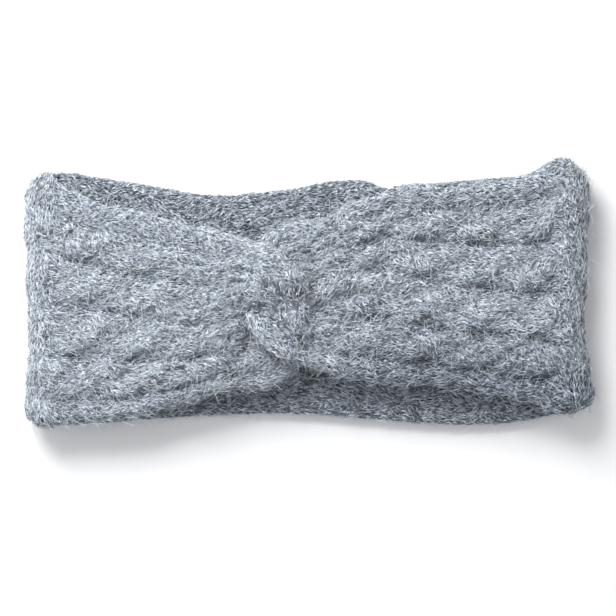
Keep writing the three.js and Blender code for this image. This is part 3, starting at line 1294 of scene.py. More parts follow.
KNIT_LEG = Lens(
    line=((0.03, -0.68, -0.35), (0.2, -0.3, 0.2), (0.36, 0.3, 0.25), (0.3, 0.72, -0.3)),
    radii=((0.2, 0.42), (0.2, 0.42)),
)
PURL_BUMP = Lens(
    line=((-0.62, -0.2, -0.5), (-0.24, 0.12, 0.2), (0.24, 0.12, 0.2), (0.62, -0.2, -0.5)),
    radii=((0.3, 0.45), (0.3, 0.45)),
)


@dataclass(frozen=True)
class Sliver:
    """A fine fibre that is pointed at both ends and widest where it bends.

    Attributes:
        start: where it begins.
        bend: the middle of its widest place.
        end: where it ends.
    """

    start: tuple[float, float, float]
    bend: tuple[float, float, float]
    end: tuple[float, float, float]

    def build(self) -> tuple[list[Array], list[Face]]:
        """Makes the fibre.

        Returns:
            Its points and its faces.
        """
        bend = np.array(self.bend)
        half = np.array([0.0, 1.0, 0.0])
        points = [np.array(self.start), bend + half, np.array(self.end), bend - half]
        return points, [(0, 3, 1), (1, 3, 2), (0, 1, 2), (0, 2, 3)]


@dataclass(frozen=True)
class Stray:
    """A long bent fibre that is pointed at both ends, with rings of three points between them.

    Attributes:
        line: the points that it runs through: shares of its length, then sideways and up in widths.
    """

    line: tuple[tuple[float, float, float], ...]

    def build(self) -> tuple[list[Array], list[Face]]:
        """Makes the fibre.

        Returns:
            Its points and its faces.
        """
        points = [np.array(self.line[0])]
        for middle in self.line[1:-1]:
            for turn in (0, 2 * math.pi / 3, 4 * math.pi / 3):
                points.append(np.array(middle) + np.array([0.0, -math.cos(turn), math.sin(turn)]))
        points.append(np.array(self.line[-1]))
        return points, spindle_faces(len(self.line) - 2, 3)


FIBRES = (
    Sliver((0, 0, -1.0), (0.5, 0.8, 2.0), (1, 0, 0.5)),
    Sliver((0, 0, -1.0), (0.55, -3.0, 2.5), (1, 1.5, 0.0)),
    Sliver((0, 0, -1.0), (0.42, 2.5, 3.5), (1, -2.0, 1.5)),
    Sliver((0, 0, -1.0), (0.48, 4.0, 2.5), (1, 1.0, 0.5)),
)
STRAYS = (
    Stray(((0, 0, -2.0), (0.33, 7.0, 4.0), (0.7, 6.0, 7.0), (1, -6.0, 6.0))),
    Stray(((0, 0, -2.0), (0.3, -4.0, 5.0), (0.65, 3.0, 9.0), (1, 14.0, 8.0))),
    Stray(((0, 0, -2.0), (0.36, -9.0, 6.0), (0.72, -11.0, 8.0), (1, -3.0, 3.0))),
)


def template(name: str, points: list[Array], faces: list[Face], twin: bool = False) -> bpy.types.Object:
    """A shape that is repeated all over the knit.

    Args:
        name: the object's name.
        points: its points.
        faces: its faces.
        twin: whether it has a twin on the other side of the middle.

    Returns:
        The object, with its faces outward.
    """
    if twin:
        turned_over = [tuple(reversed(face)) for face in faces]
        faces = faces + [tuple(index + len(points) for index in face) for face in turned_over]
        points = points + [point * np.array([-1, 1, 1]) for point in points]
    made = mesh_object(name, np.array(points), faces)
    shade_smooth(made.data)
    return made


def finish_tree(tree: Any, instances: bpy.types.NodeSocket, given: Any, out: Any) -> None:
    """Ends a geometry tree: makes its instances real and gives them their material.

    Args:
        tree: the tree.
        instances: the socket that gives the instances.
        given: the tree's group input node, which has a material.
        out: the tree's group output node.
    """
    solid = add_node(tree, "GeometryNodeRealizeInstances", {"Geometry": instances})
    dressed = add_node(
        tree,
        "GeometryNodeSetMaterial",
        {"Geometry": solid.outputs["Geometry"], "Material": given.outputs["Material"]},
    )
    tree.links.new(dressed.outputs["Geometry"], out.inputs["Geometry"])


class StitchTree:
    """The tree that sets a stitch on each point, turned as the knit lies there."""

    def __init__(self) -> None:
        """Builds the tree."""
        self.tree, given, out = new_geometry_tree(
            "stitches", {"Stitch": "NodeSocketObject", "Material": "NodeSocketMaterial"}
        )
        outward = named_attribute(self.tree, "outward", "FLOAT_VECTOR")
        lengthwise = named_attribute(self.tree, "lengthwise", "FLOAT_VECTOR")
        turned = add_node(
            self.tree,
            "FunctionNodeAxesToRotation",
            {"Primary Axis": outward, "Secondary Axis": lengthwise},
            primary_axis="Z",
            secondary_axis="Y",
        )
        shape = add_node(self.tree, "GeometryNodeObjectInfo", {"Object": given.outputs["Stitch"]})
        placed = add_node(
            self.tree,
            "GeometryNodeInstanceOnPoints",
            {
                "Points": given.outputs["Geometry"],
                "Instance": shape.outputs["Geometry"],
                "Rotation": turned.outputs["Rotation"],
                "Scale": named_attribute(self.tree, "size", "FLOAT_VECTOR"),
            },
        )
        finish_tree(self.tree, placed.outputs["Instances"], given, out)


@dataclass(frozen=True)
class FuzzLook:
    """How the brushed fibres stand on a surface.

    Attributes:
        density: fibres to a square millimetre, before those that stand too close are taken out.
        apart: the least way from one fibre's root to the next, in millimetres.
        length: the shortest and the longest fibre, in millimetres.
        radius: half of a fibre's thickness in its middle, in millimetres.
        spread: how far fibres turn from the grain, in radians.
        flow: how far whole patches of fibres turn together, in radians.
        lift: the least and the greatest angle off the surface, in radians.
        tone: the darkest and the lightest tone.
        seed: what the random numbers start from.
    """

    density: float
    apart: float
    length: tuple[float, float]
    radius: float
    spread: float
    flow: float
    lift: tuple[float, float]
    tone: tuple[float, float]
    seed: int


SHORT_FIBRES = FuzzLook(
    density=12.0,
    apart=0.33,
    length=(2.2, 5.0),
    radius=0.115,
    spread=0.5,
    flow=1.0,
    lift=(-0.03, 0.15),
    tone=(0.1, 1.0),
    seed=11,
)
LONG_FIBRES = FuzzLook(
    density=0.27,
    apart=0.4,
    length=(5.0, 9.5),
    radius=0.085,
    spread=1.3,
    flow=1.0,
    lift=(0.0, 0.3),
    tone=(0.8, 1.05),
    seed=1011,
)


class FuzzTree:
    """The tree that grows fibres on a surface, in patches that lean the same way.

    Attributes:
        FLOATS: the names of its inputs that are plain numbers.
        THICKNESS: the least and the greatest share of a fibre's usual thickness.
        LEAN_SCALE: how many patches that lean the same way there are in a metre.
        TONE_SCALE: how many patches of one tone there are in a metre.
        TONE_RANGE: how far their tone strays.
        PATCH_RANGE: the values between which the noise of the patches mostly lies.
        ALONG_SHARE: the share of the fibres that point along the grain and not back.
    """

    FLOATS = ("Density", "Apart", "Shortest", "Longest", "Radius", "Spread", "Flow")
    FLOATS += ("Least Lift", "Most Lift", "Darkest", "Lightest")
    THICKNESS = (0.75, 1.25)
    LEAN_SCALE = 105.0
    TONE_SCALE = 140.0
    TONE_RANGE = 0.02
    PATCH_RANGE = (0.3, 0.7)
    ALONG_SHARE = 0.62

    def __init__(self) -> None:
        """Builds the tree."""
        inputs = {name: "NodeSocketFloat" for name in self.FLOATS}
        inputs["Seed"] = "NodeSocketInt"
        inputs["Fibres"] = "NodeSocketCollection"
        inputs["Material"] = "NodeSocketMaterial"
        self.tree, given, out = new_geometry_tree("brushed fibres", inputs)
        self.given = given
        roots = add_node(
            self.tree,
            "GeometryNodeDistributePointsOnFaces",
            {
                "Mesh": given.outputs["Geometry"],
                "Distance Min": given.outputs["Apart"],
                "Density Max": given.outputs["Density"],
                "Density Factor": named_attribute(self.tree, "fibres", "FLOAT"),
                "Seed": given.outputs["Seed"],
            },
            distribute_method="POISSON",
        )
        turned = self._rotation(roots.outputs["Normal"])
        length = self._random("Shortest", "Longest", Draw.LENGTH)
        thickness = self._random(*self.THICKNESS, Draw.THICKNESS)
        radius = self._math("MULTIPLY", given.outputs["Radius"], thickness)
        size = add_node(self.tree, "ShaderNodeCombineXYZ", {"X": length, "Y": radius, "Z": radius})
        shapes = add_node(
            self.tree,
            "GeometryNodeCollectionInfo",
            {"Collection": given.outputs["Fibres"], "Separate Children": True, "Reset Children": True},
        )
        placed = add_node(
            self.tree,
            "GeometryNodeInstanceOnPoints",
            {
                "Points": roots.outputs["Points"],
                "Instance": shapes.outputs["Instances"],
                "Pick Instance": True,
                "Rotation": turned,
                "Scale": size.outputs["Vector"],
            },
        )
        toned = add_node(
            self.tree,
            "GeometryNodeStoreNamedAttribute",
            {"Geometry": placed.outputs["Instances"], "Name": "tone", "Value": self._tone()},
            data_type="FLOAT",
            domain="INSTANCE",
        )
        finish_tree(self.tree, toned.outputs["Geometry"], given, out)

    def _math(self, operation: str, first: Any, second: Any) -> bpy.types.NodeSocket:
        """The socket that gives the result of a sum."""
        made = add_node(self.tree, "ShaderNodeMath", {0: first, 1: second}, operation=operation)
        return made.outputs[0]

    def _random(self, low: str | float, high: str | float, draw: Draw) -> bpy.types.NodeSocket:
        """A random number for each fibre.

        Args:
            low: the least number, or the name of the tree's input that gives it.
            high: the greatest one.
            draw: what it is for.

        Returns:
            The socket that gives it.
        """
        ends = [self.given.outputs[end] if isinstance(end, str) else end for end in (low, high)]
        seed = self._math("ADD", self.given.outputs["Seed"], float(draw))
        inputs = {2: ends[0], 3: ends[1], "Seed": seed}
        return add_node(self.tree, "FunctionNodeRandomValue", inputs, data_type="FLOAT").outputs[1]

    def _patches(self, scale: float, reach: float) -> bpy.types.NodeSocket:
        """A number that changes slowly from patch to patch.

        Args:
            scale: how many patches there are in a metre.
            reach: how far it gets from 0, up or down.

        Returns:
            The socket that gives it.
        """
        place = add_node(self.tree, "GeometryNodeInputPosition").outputs["Position"]
        noise = {"Vector": place, "Scale": scale, "Detail": 2.0}
        return wander(self.tree, noise, self.PATCH_RANGE, reach)

    def _rotation(self, normal: bpy.types.NodeSocket) -> bpy.types.NodeSocket:
        """How each fibre is turned: along the grain, then round, up and over.

        Args:
            normal: the socket that gives the way out of the surface.

        Returns:
            The socket that gives the turn.
        """
        grain = named_attribute(self.tree, "grain", "FLOAT_VECTOR")
        turned = add_node(
            self.tree,
            "FunctionNodeAxesToRotation",
            {"Primary Axis": normal, "Secondary Axis": grain},
            primary_axis="Z",
            secondary_axis="X",
        ).outputs["Rotation"]
        patch = self._math("MULTIPLY", self.given.outputs["Flow"], self._patches(self.LEAN_SCALE, 1.0))
        alone = self._random(-1.0, 1.0, Draw.TURN)
        loose = self._math("MULTIPLY", self.given.outputs["Spread"], alone)
        back = self._math("GREATER_THAN", self._random(0.0, 1.0, Draw.ABOUT), self.ALONG_SHARE)
        about = self._math("MULTIPLY", math.pi, back)
        free = named_attribute(self.tree, "loose", "FLOAT")
        strayed = self._math("MULTIPLY", self._math("ADD", patch, loose), free)
        yaw = self._math("ADD", strayed, about)
        lift = self._math("MULTIPLY", -1.0, self._random("Least Lift", "Most Lift", Draw.LIFT))
        roll = self._random(-1.0, 1.0, Draw.ROLL)
        for axis, angle in (((0, 0, 1), yaw), ((0, 1, 0), lift), ((1, 0, 0), roll)):
            inputs = {"Axis": axis, "Angle": angle}
            by = add_node(self.tree, "FunctionNodeAxisAngleToRotation", inputs)
            turned = add_node(
                self.tree,
                "FunctionNodeRotateRotation",
                {"Rotation": turned, "Rotate By": by.outputs["Rotation"]},
                rotation_space="LOCAL",
            ).outputs["Rotation"]
        return turned

    def _tone(self) -> bpy.types.NodeSocket:
        """How light each fibre is, with the painted light and shade of its shade attribute added.

        Returns:
            The socket that gives its tone.
        """
        chance = self._random("Darkest", "Lightest", Draw.TONE)
        patched = self._math("ADD", chance, self._patches(self.TONE_SCALE, self.TONE_RANGE))
        return self._math("ADD", patched, named_attribute(self.tree, "shade", "FLOAT"))

    @staticmethod
    def values(
        look: FuzzLook, fibres: bpy.types.Collection, material: bpy.types.Material
    ) -> dict[str, Any]:
        """The tree's inputs for a look.

        Args:
            look: how the fibres stand.
            fibres: the shapes to repeat.
            material: their material.

        Returns:
            The value of each named input.
        """
        return {
            "Density": look.density / MM**2,
            "Apart": look.apart * MM,
            "Shortest": look.length[0] * MM,
            "Longest": look.length[1] * MM,
            "Radius": look.radius * MM,
            "Spread": look.spread,
            "Flow": look.flow,
            "Least Lift": look.lift[0],
            "Most Lift": look.lift[1],
            "Darkest": look.tone[0],
            "Lightest": look.tone[1],
            "Seed": look.seed,
            "Fibres": fibres,
            "Material": material,
        }


@dataclass
class Workshop:
    """What all the panels are made with.

    Attributes:
        shift: the way from the panels' own origin to the frame's, in millimetres.
        stitch_tree: the tree that sets stitches.
        fuzz_tree: the tree that grows fibres.
        knit_stitch: the shape of a knit stitch.
        purl_stitch: the shape of a purl bump.
        fibres: the shapes of the short fibres.
        strays: the shapes of the long ones.
        wall: the material of the walls.
        yarn: the material of the stitches.
        fibre: the material of the fibres.
    """

    shift: Array
    stitch_tree: StitchTree
    fuzz_tree: FuzzTree
    knit_stitch: bpy.types.Object
    purl_stitch: bpy.types.Object
    fibres: bpy.types.Collection
    strays: bpy.types.Collection
    wall: bpy.types.Material
    yarn: bpy.types.Material
    fibre: bpy.types.Material

    @classmethod
    def opened(cls, shift: Array) -> "Workshop":
        """Makes the trees, the repeated shapes and the finishes.

        Args:
            shift: the way from the panels' own origin to the frame's, in millimetres.

        Returns:
            The workshop.
        """
        return cls(
            shift=shift,
            stitch_tree=StitchTree(),
            fuzz_tree=FuzzTree(),
            knit_stitch=template("knit_stitch", *KNIT_LEG.build(sides=5), twin=True),
            purl_stitch=template("purl_stitch", *PURL_BUMP.build(sides=5)),
            fibres=cls._collected("fibre", FIBRES),
            strays=cls._collected("stray", STRAYS),
            wall=WALL_FINISH.material(),
            yarn=STITCH_FINISH.material(),
            fibre=FIBRE_FINISH.material(),
        )

    @staticmethod
    def _collected(name: str, shapes: tuple[Sliver | Stray, ...]) -> bpy.types.Collection:
        """Makes a collection of repeated fibres, which isn't in the scene.

        Args:
            name: the collection's name.
            shapes: the fibres.

        Returns:
            The collection.
        """
        collection = bpy.data.collections.new(name)
        for index, shape in enumerate(shapes):
            fibre = template(f"{name}_{index}", *shape.build())
            bpy.context.scene.collection.objects.unlink(fibre)
            collection.objects.link(fibre)
        return collection

    def place(self, points: Array) -> Array:
        """Points in the frame, in metres."""
        return (points.reshape(-1, 3) + self.shift) * MM

    def close(self) -> None:
        """Clears the repeated shapes away."""
        shapes = [self.knit_stitch, self.purl_stitch, *self.fibres.objects, *self.strays.objects]
        for shape in shapes:
            mesh = shape.data
            bpy.data.objects.remove(shape)
            bpy.data.meshes.remove(mesh)
        for collection in (self.fibres, self.strays):
            bpy.data.collections.remove(collection)
        for tree in (self.stitch_tree.tree, self.fuzz_tree.tree):
            bpy.data.node_groups.remove(tree)


class StitchPlaces:
    """Where the stitches of one piece go, and how each is turned, scaled and toned."""

    def __init__(self, panel_seed: int, looseness: Looseness) -> None:
        """Starts with no stitches.

        Args:
            panel_seed: what the panel's random numbers start from.
            looseness: how far the stitches stray.
        """
        self.draw = np.random.default_rng(panel_seed + looseness.seed)
        self.looseness = looseness
        self.points: list[Array] = []
        self.values: dict[str, list[Array]] = {"outward": [], "lengthwise": [], "size": [], "tone": []}

    def add(
        self, spots: Array, outward: Array, lengthwise: Array, size: Array, tone: Array | float
    ) -> None:
        """Adds a group of stitches.

        Args:
            spots: where they go.
            outward: the way out of the knit at each of them.
            lengthwise: the way along it.
            size: their width, length and height.
            tone: how light they are.
        """
        loose, count = self.looseness, len(spots)
        self.points.append(spots)
        self.values["outward"].append(unit(outward + self.draw.normal(0, loose.lean, (count, 3))))
        self.values["lengthwise"].append(unit(lengthwise + self.draw.normal(0, loose.yaw, (count, 3))))
        self.values["size"].append(size * self.draw.uniform(*loose.scale, (count, 3)) * MM)
        self.values["tone"].append(np.clip(tone + self.draw.normal(0, loose.tone, count), 0, 1))

    def piece(self, shop: Workshop, name: str, stitch: bpy.types.Object) -> bpy.types.Object:
        """Sets a stitch on each place.

        Args:
            shop: what the panels are made with.
            name: the piece's name.
            stitch: the stitch's shape.

        Returns:
            The piece.
        """
        piece = mesh_object(name, shop.place(np.concatenate(self.points)), [])
        for key, values in self.values.items():
            add_attribute(piece.data, key, np.concatenate(values))
        apply_tree(piece, shop.stitch_tree.tree, {"Stitch": stitch, "Material": shop.yarn})
        return piece


@dataclass
class Panel:
    """One knitted panel and all that dresses it.

    Attributes:
        surface: where the panel's knit lies.
        flat: the panel's width and length as it was knitted, in metres; not used.
        upper: the skin that faces up.
        fuzz: how the brushed fibres stand.
        strays: how the few long fibres stand.
        row_step: the length of knit between two rows of its wall.
        wall_relief: how much of the knit's relief its wall has, under the stitches.
        wall_tones: how light its wall is in a dent, and how much lighter on a cable's crown, as painted
            light.
        sunk: how far its wall lies under the knit's surface.
        stitch_depth: how far the middle of a stitch stays under the brushed fibres.
        shaded: how much painted shade darkens the fibres along its hooked edge.
        gutters: how deep its gutters are, as a share.
        steady: how deep they are on average between the crossings, as a share.
        wrinkles: its soft folds.
    """

    surface: FrontHalf | BackPanel
    flat: tuple[float, float]
    upper: Skin
    fuzz: FuzzLook
    strays: FuzzLook
    row_step: float = 1.8
    wall_relief: float = 0.9
    wall_tones: tuple[float, float] = (0.2, 0.4)
    sunk: float = 0.8
    stitch_depth: float = 0.75
    shaded: float = 0.0
    gutters: float = 0.5
    steady: float = 0.45
    wrinkles: tuple[Wrinkle, ...] = ()

    def build(self, shop: Workshop) -> list[bpy.types.Object]:
        """Makes the panel's wall, stitches and fibres, puts them on the body and hides its part.

        Args:
            shop: what the panels are made with.

        Returns:
            The pieces.
        """
        name = self.surface.name
        wall = self._wall(shop)
        stitches = [self._stitches(shop)]
        if isinstance(self.surface, BackPanel):
            stitches += [self._purls(shop), self._edge_stitches(shop)]
        fuzz = self._fuzz(shop, "fibres", self.fuzz, shop.fibres)
        strays = self._fuzz(shop, "stray_fibres", self.strays, shop.strays)
        dressing = [*stitches, fuzz, strays]
        for piece in (wall, *dressing):
            if isinstance(self.surface, BackPanel):
                clear_of_floor(piece)
            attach(piece, BODY)
        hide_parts(name)
        return [wall, *dressing]

    def _rows(self, step: float) -> Array:
        """Divides the length of the knit for a wall.

        Args:
            step: the length of knit between two rows, about.

        Returns:
            The lengths along the knit at which the wall has rows.
        """
        surface = self.surface
        if isinstance(surface, FrontHalf):
            flat_end = surface.web_length
        else:
            flat_end = surface.length - BAND.fold_length
        ends = [0.0, BAND.fold_length, flat_end, surface.length]
        rows = [np.zeros(1)]
        for start, end in zip(ends, ends[1:]):
            count = max(1, round((end - start) / step))
            rows.append(np.linspace(start, end, count + 1)[1:])
        return np.concatenate(rows)

    def _closed_wall(
        self, shop: Workshop, name: str, step: float, brushed: bool
    ) -> tuple[bpy.types.Object, Array, Array, Array]:
        """A closed wall of the panel's own shape.

        Args:
            shop: what the panels are made with.
            name: the object's name.
            step: the length of knit between two rows.
            brushed: whether it is the surface of the brushed fibres, and not the wall itself.

        Returns:
            The object, and for each of its points the length along the knit, the share across it, and
            whether it is on the outer skin.
        """
        surface = self.surface
        rows, cuts = self._rows(step), surface.knit.cuts()
        along, share = np.meshgrid(rows, cuts, indexing="ij")
        rise, _ = self._brushed(share, along)
        if not brushed:
            relief = self.wall_relief * surface.knit.relief(share, along)
            plain = relief - self.sunk + self._lift(share, along)
            rise = np.minimum(plain, rise - BRUSH.wall_cover)
        outer = surface.point(along, share, Skin.OUTER, rise)
        inner = surface.point(along, share, Skin.INNER, BRUSH.inner_rise if brushed else 0.0)
        count = along.size
        index = np.arange(count).reshape(along.shape)
        if isinstance(surface, FrontHalf):
            # From the turning point on, all rows share one point in the middle.
            middle = int(np.argmin(np.abs(cuts - surface.knit.middle)))
            first = int(np.argmin(np.abs(rows - surface.web_length)))
            index[first:, middle] = index[first, middle]
        top, bottom = index, index + count
        if self.upper is Skin.INNER:
            top, bottom = bottom, top
        faces = self._skin_faces(top, turned_over=False)
        faces += self._skin_faces(bottom, turned_over=True)
        faces += self._rim_faces(top, bottom)
        points = np.concatenate([outer.reshape(-1, 3), inner.reshape(-1, 3)])
        # Points that no face uses are left out, and the others are numbered anew.
        used = np.zeros(2 * count, bool)
        used[[corner for face in faces for corner in face]] = True
        number = (np.cumsum(used) - 1).tolist()
        faces = [tuple(number[corner] for corner in face) for face in faces]
        piece = mesh_object(name, shop.place(points[used]), faces)
        shade_smooth(piece.data)
        on_outer = np.arange(2 * count) < count
        everywhere = (np.tile(along.ravel(), 2), np.tile(share.ravel(), 2), on_outer)
        return piece, *(values[used] for values in everywhere)

    def _brushed(self, share: Array, along: Array) -> tuple[Array, Array]:
        """The surface of the brushed fibres and its gutters, which are drawn smooth near the twist.

        Args:
            share: shares across the knit.
            along: lengths along it.

        Returns:
            How far the surface stands out of the plain wall, and how deep in a gutter it is, from 0
            to 1.
        """
        rise, gutter = self.surface.knit.brushed(share, along, self.steady)
        gutter = gutter * self.gutters
        if isinstance(self.surface, FrontHalf):
            from_twist = self._from_twist(share, along)
            crisp = ease(from_twist, BRUSH.smooth_within, BRUSH.crisp_beyond)
            kept = BRUSH.least_relief + (1 - BRUSH.least_relief) * crisp
            rise = mix(BRUSH.smoothed_rise, rise, kept) + self._lift(share, along)
            gutter = gutter * kept
        fold_end = BAND.fold_length
        fade = ease(self._from_seam(along), fold_end - BRUSH.fold_before, fold_end + BRUSH.fold_after)
        folded = 1 - fade
        gutter = gutter * (1 - BRUSH.fold_gutter * folded)
        rise = mix(rise, BRUSH.fold_rise, BRUSH.fold_share * folded)
        return rise - BRUSH.gutter_dip * gutter, gutter

    def _from_twist(self, share: Array, along: Array) -> Array:
        """How far the knit is from the twist's middle, seen from above."""
        plain = self.surface.point(along, share, Skin.OUTER, 0.0)
        return np.hypot(plain[..., 0] - TWIST.x, plain[..., 1] - TWIST.y)

    def _from_seam(self, along: Array) -> Array:
        """How far along the knit its nearest seam is."""
        two_seams = isinstance(self.surface, BackPanel)
        return np.minimum(along, self.surface.length - along) if two_seams else along

    def _lift(self, share: Array, along: Array) -> Array:
        """How far the panel's wrinkles lift it."""
        plain = self.surface.point(along, share, Skin.OUTER, 0.0)
        return sum((wrinkle.lift(plain) for wrinkle in self.wrinkles), np.zeros(plain.shape[:-1]))

    @staticmethod
    def _skin_faces(index: Array, turned_over: bool) -> list[Face]:
        """The faces of one skin. A face with a corner twice loses it.

        Args:
            index: the grid of the skin's points.
            turned_over: whether the faces are turned the other way round.

        Returns:
            The faces.
        """
        corners = [index[:-1, :-1], index[:-1, 1:], index[1:, 1:], index[1:, :-1]]
        if turned_over:
            corners.reverse()
        squares = np.stack(corners, axis=-1).reshape(-1, 4).tolist()
        faces = [tuple(dict.fromkeys(face)) for face in squares]
        return [face for face in faces if len(face) > 2]

    @staticmethod
    def _rim_faces(top: Array, bottom: Array) -> list[Face]:
        """The faces that join the two skins along their borders.

        Args:
            top: the grid of the upper skin's points.
            bottom: the grid of the lower skin's.

        Returns:
            The faces.
        """
        above, below = (
            np.concatenate([grid[0, :-1], grid[:-1, -1], grid[-1, :0:-1], grid[:0:-1, 0]])
            for grid in (top, bottom)
        )
        ahead, under = np.roll(above, -1), np.roll(below, -1)
        return np.stack([above, below, under, ahead], axis=-1).tolist()

    def _wall(self, shop: Workshop) -> bpy.types.Object:
        """Makes the wall of knit under the stitches.

        Args:
            shop: what the panels are made with.

        Returns:
            The piece.
        """
        name = f"{self.surface.name}_wall"
        wall, along, share, _ = self._closed_wall(shop, name, self.row_step, brushed=False)
        # Painted light: the wall is lighter on the crowns of the cables than in the dents.
        relief = self.surface.knit.relief(share, along) / BAND.cable_rise
        dent_tone, crown_tone = self.wall_tones
        add_attribute(wall.data, "tone", dent_tone + crown_tone * relief)
        wall.data.materials.append(shop.wall)
        return wall

    def _stitches(self, shop: Workshop) -> bpy.types.Object:
        """Makes the knit stitches on the outer skin.

        Args:
            shop: what the panels are made with.

        Returns:
            The piece.
        """
        surface = self.surface
        places = StitchPlaces(self.fuzz.seed, KNIT_LOOSENESS)
        for wale in surface.knit.wales():
            fine = np.arange(0.0, surface.length, STITCH.walk)
            share, rise = surface.knit.wale_at(wale, fine)
            walked = surface.point(fine, share, Skin.OUTER, rise)
            steps = np.linalg.norm(np.diff(walked, axis=0), axis=1)
            lengths = np.concatenate([[0], np.cumsum(steps)])
            if lengths[-1] < 2 * BAND.row_pitch:
                continue
            count = round(lengths[-1] / BAND.row_pitch)
            at = np.interp((np.arange(count) + 0.5) * lengths[-1] / count, lengths, fine)
            share, rise = surface.knit.wale_at(wale, at)
            showing = rise > surface.knit.relief(share, at) - STITCH.covered
            if isinstance(surface, FrontHalf):
                showing &= surface.shown(at, share)
            at, share, rise = at[showing], share[showing], rise[showing]
            spots = surface.point(at, share, Skin.OUTER, self._stitch_rise(rise, share, at))
            ahead = at + STITCH.ahead
            next_share, next_rise = surface.knit.wale_at(wale, ahead)
            next_rise = self._stitch_rise(next_rise, next_share, ahead)
            lengthwise = unit(surface.point(ahead, next_share, Skin.OUTER, next_rise) - spots)
            outward = unit(np.cross(self._across_relief(at, share), lengthwise))
            if self.upper is Skin.INNER:
                outward = -outward
            size = np.array([wale.width, lengths[-1] / count, STITCH.height])
            # Painted light: the stitches are lighter on the crowns of the cables than in the dents.
            tone = STITCH.tone + STITCH.crown_tone * rise / BAND.cable_rise
            places.add(spots, outward, lengthwise, size, tone)
        return places.piece(shop, f"{surface.name}_stitches", shop.knit_stitch)

    def _stitch_rise(self, rise: Array, share: Array, along: Array) -> Array:
        """How far the middles of stitches stand out, just under the surface of the brushed fibres."""
        under_fibres = self._brushed(share, along)[0] - self.stitch_depth
        return np.minimum(rise - STITCH.seat, under_fibres)

    def _across_relief(self, along: Array, share: Array) -> Array:
        """The way across the knit, up and down its relief.

        Args:
            along: lengths along the knit.
            share: shares across it.

        Returns:
            One unit vector for each place.
        """
        surface = self.surface
        step = STITCH.ahead / surface.knit.width
        far, near = np.minimum(share + step, 1), np.maximum(share - step, 0)
        ahead = surface.point(along, far, Skin.OUTER, surface.knit.relief(far, along))
        return unit(ahead - surface.point(along, near, Skin.OUTER, surface.knit.relief(near, along)))

    def _edge_stitches(self, shop: Workshop) -> bpy.types.Object:
        """Makes the knit stitches on the inner skin's two edges, which show past the front.

        Args:
            shop: what the panels are made with.

        Returns:
            The piece.
        """
        surface = self.surface
        places = StitchPlaces(self.fuzz.seed, EDGE_LOOSENESS)
        count = round(surface.length / BAND.row_pitch)
        at = (np.arange(count) + 0.5) * surface.length / count
        for wale in surface.knit.wales():
            if wale.column.kind is not Kind.EDGE:
                continue
            share, _ = surface.knit.wale_at(wale, at)
            spots = surface.point(at, share, Skin.INNER, 0.0)
            lengthwise = unit(spots - surface.point(at - STITCH.ahead, share, Skin.INNER, 0.0))
            outward = unit(np.cross(sideways(surface, at, share, Skin.INNER), lengthwise))
            size = np.array([wale.width, surface.length / count, STITCH.height])
            places.add(spots, outward, lengthwise, size, STITCH.edge_tone)
        return places.piece(shop, f"{surface.name}_edge_stitches", shop.knit_stitch)

    def _purls(self, shop: Workshop) -> bpy.types.Object:
        """Makes the purl bumps on the inner skin, between its edges.

        Args:
            shop: what the panels are made with.

        Returns:
            The piece.
        """
        surface, knit = self.surface, self.surface.knit
        columns = round(knit.width / BAND.wale_width)
        rows = round(surface.length / BAND.row_pitch)
        grids = np.meshgrid(np.arange(rows), np.arange(columns), indexing="ij")
        row, column = (grid.ravel() for grid in grids)
        set_on = STITCH.purl_stagger * (column % 2)
        at = (row + 0.5 + set_on) * surface.length / (rows + 0.5)
        share = (column + 0.5) / columns
        plain = (share > knit.starts[1] / knit.width) & (share < knit.starts[-2] / knit.width)
        at, share = at[plain], share[plain]
        spots = surface.point(at, share, Skin.INNER, 0.0)
        lengthwise = self._lengthwise(at, share, Skin.INNER)
        outward = unit(np.cross(sideways(surface, at, share, Skin.INNER), lengthwise))
        places = StitchPlaces(self.fuzz.seed, PURL_LOOSENESS)
        places.add(spots, outward, lengthwise, np.array(STITCH.purl), STITCH.purl_tone)
        return places.piece(shop, f"{surface.name}_purls", shop.purl_stitch)

    def _lengthwise(self, along: Array, share: Array, skin: Skin) -> Array:
        """The way along a skin of the plain knit.

        Args:
            along: lengths along the knit.
            share: shares across it.
            skin: the side of the wall.

        Returns:
            One unit vector for each place.
        """
        ahead = self.surface.point(along + STITCH.ahead, share, skin, 0.0)
        return unit(ahead - self.surface.point(along - STITCH.ahead, share, skin, 0.0))

    def _fuzz(
        self, shop: Workshop, ending: str, look: FuzzLook, shapes: bpy.types.Collection
    ) -> bpy.types.Object:
        """Grows fibres all over the panel.

        Args:
            shop: what the panels are made with.
            ending: the end of the piece's name.
            look: how the fibres stand.
            shapes: the fibres to repeat.

        Returns:
            The piece.
        """
        surface = self.surface
        name = f"{surface.name}_{ending}"
        piece, along, share, outer = self._closed_wall(shop, name, GROWTH.row_step, brushed=True)
        rise, gutter = self._brushed(share, along)
        from_edge = np.minimum(share, 1 - share) * surface.knit.width
        fold_end = BAND.fold_length
        fade = ease(self._from_seam(along), fold_end - GROWTH.fold_blend, fold_end + GROWTH.fold_blend)
        folded = 1 - fade
        ahead = self._lengthwise(along, share, Skin.OUTER)
        across = sideways(surface, along, share, Skin.OUTER)
        held = mix(GROWTH.edge_loose, 1, ease(from_edge, 0, GROWTH.edge_reach))
        values = {
            "fibres": self._growth(along, share, outer, gutter),
            "shade": self._fibre_shade(along, share, outer, rise / BAND.cable_rise, gutter),
            "grain": unit(mix(ahead, across, folded[:, None])),
            "loose": np.minimum(held, 1 - GROWTH.fold_hold * folded),
        }
        for key, value in values.items():
            add_attribute(piece.data, key, value)
        apply_tree(piece, shop.fuzz_tree.tree, shop.fuzz_tree.values(look, shapes, shop.fibre))
        return piece

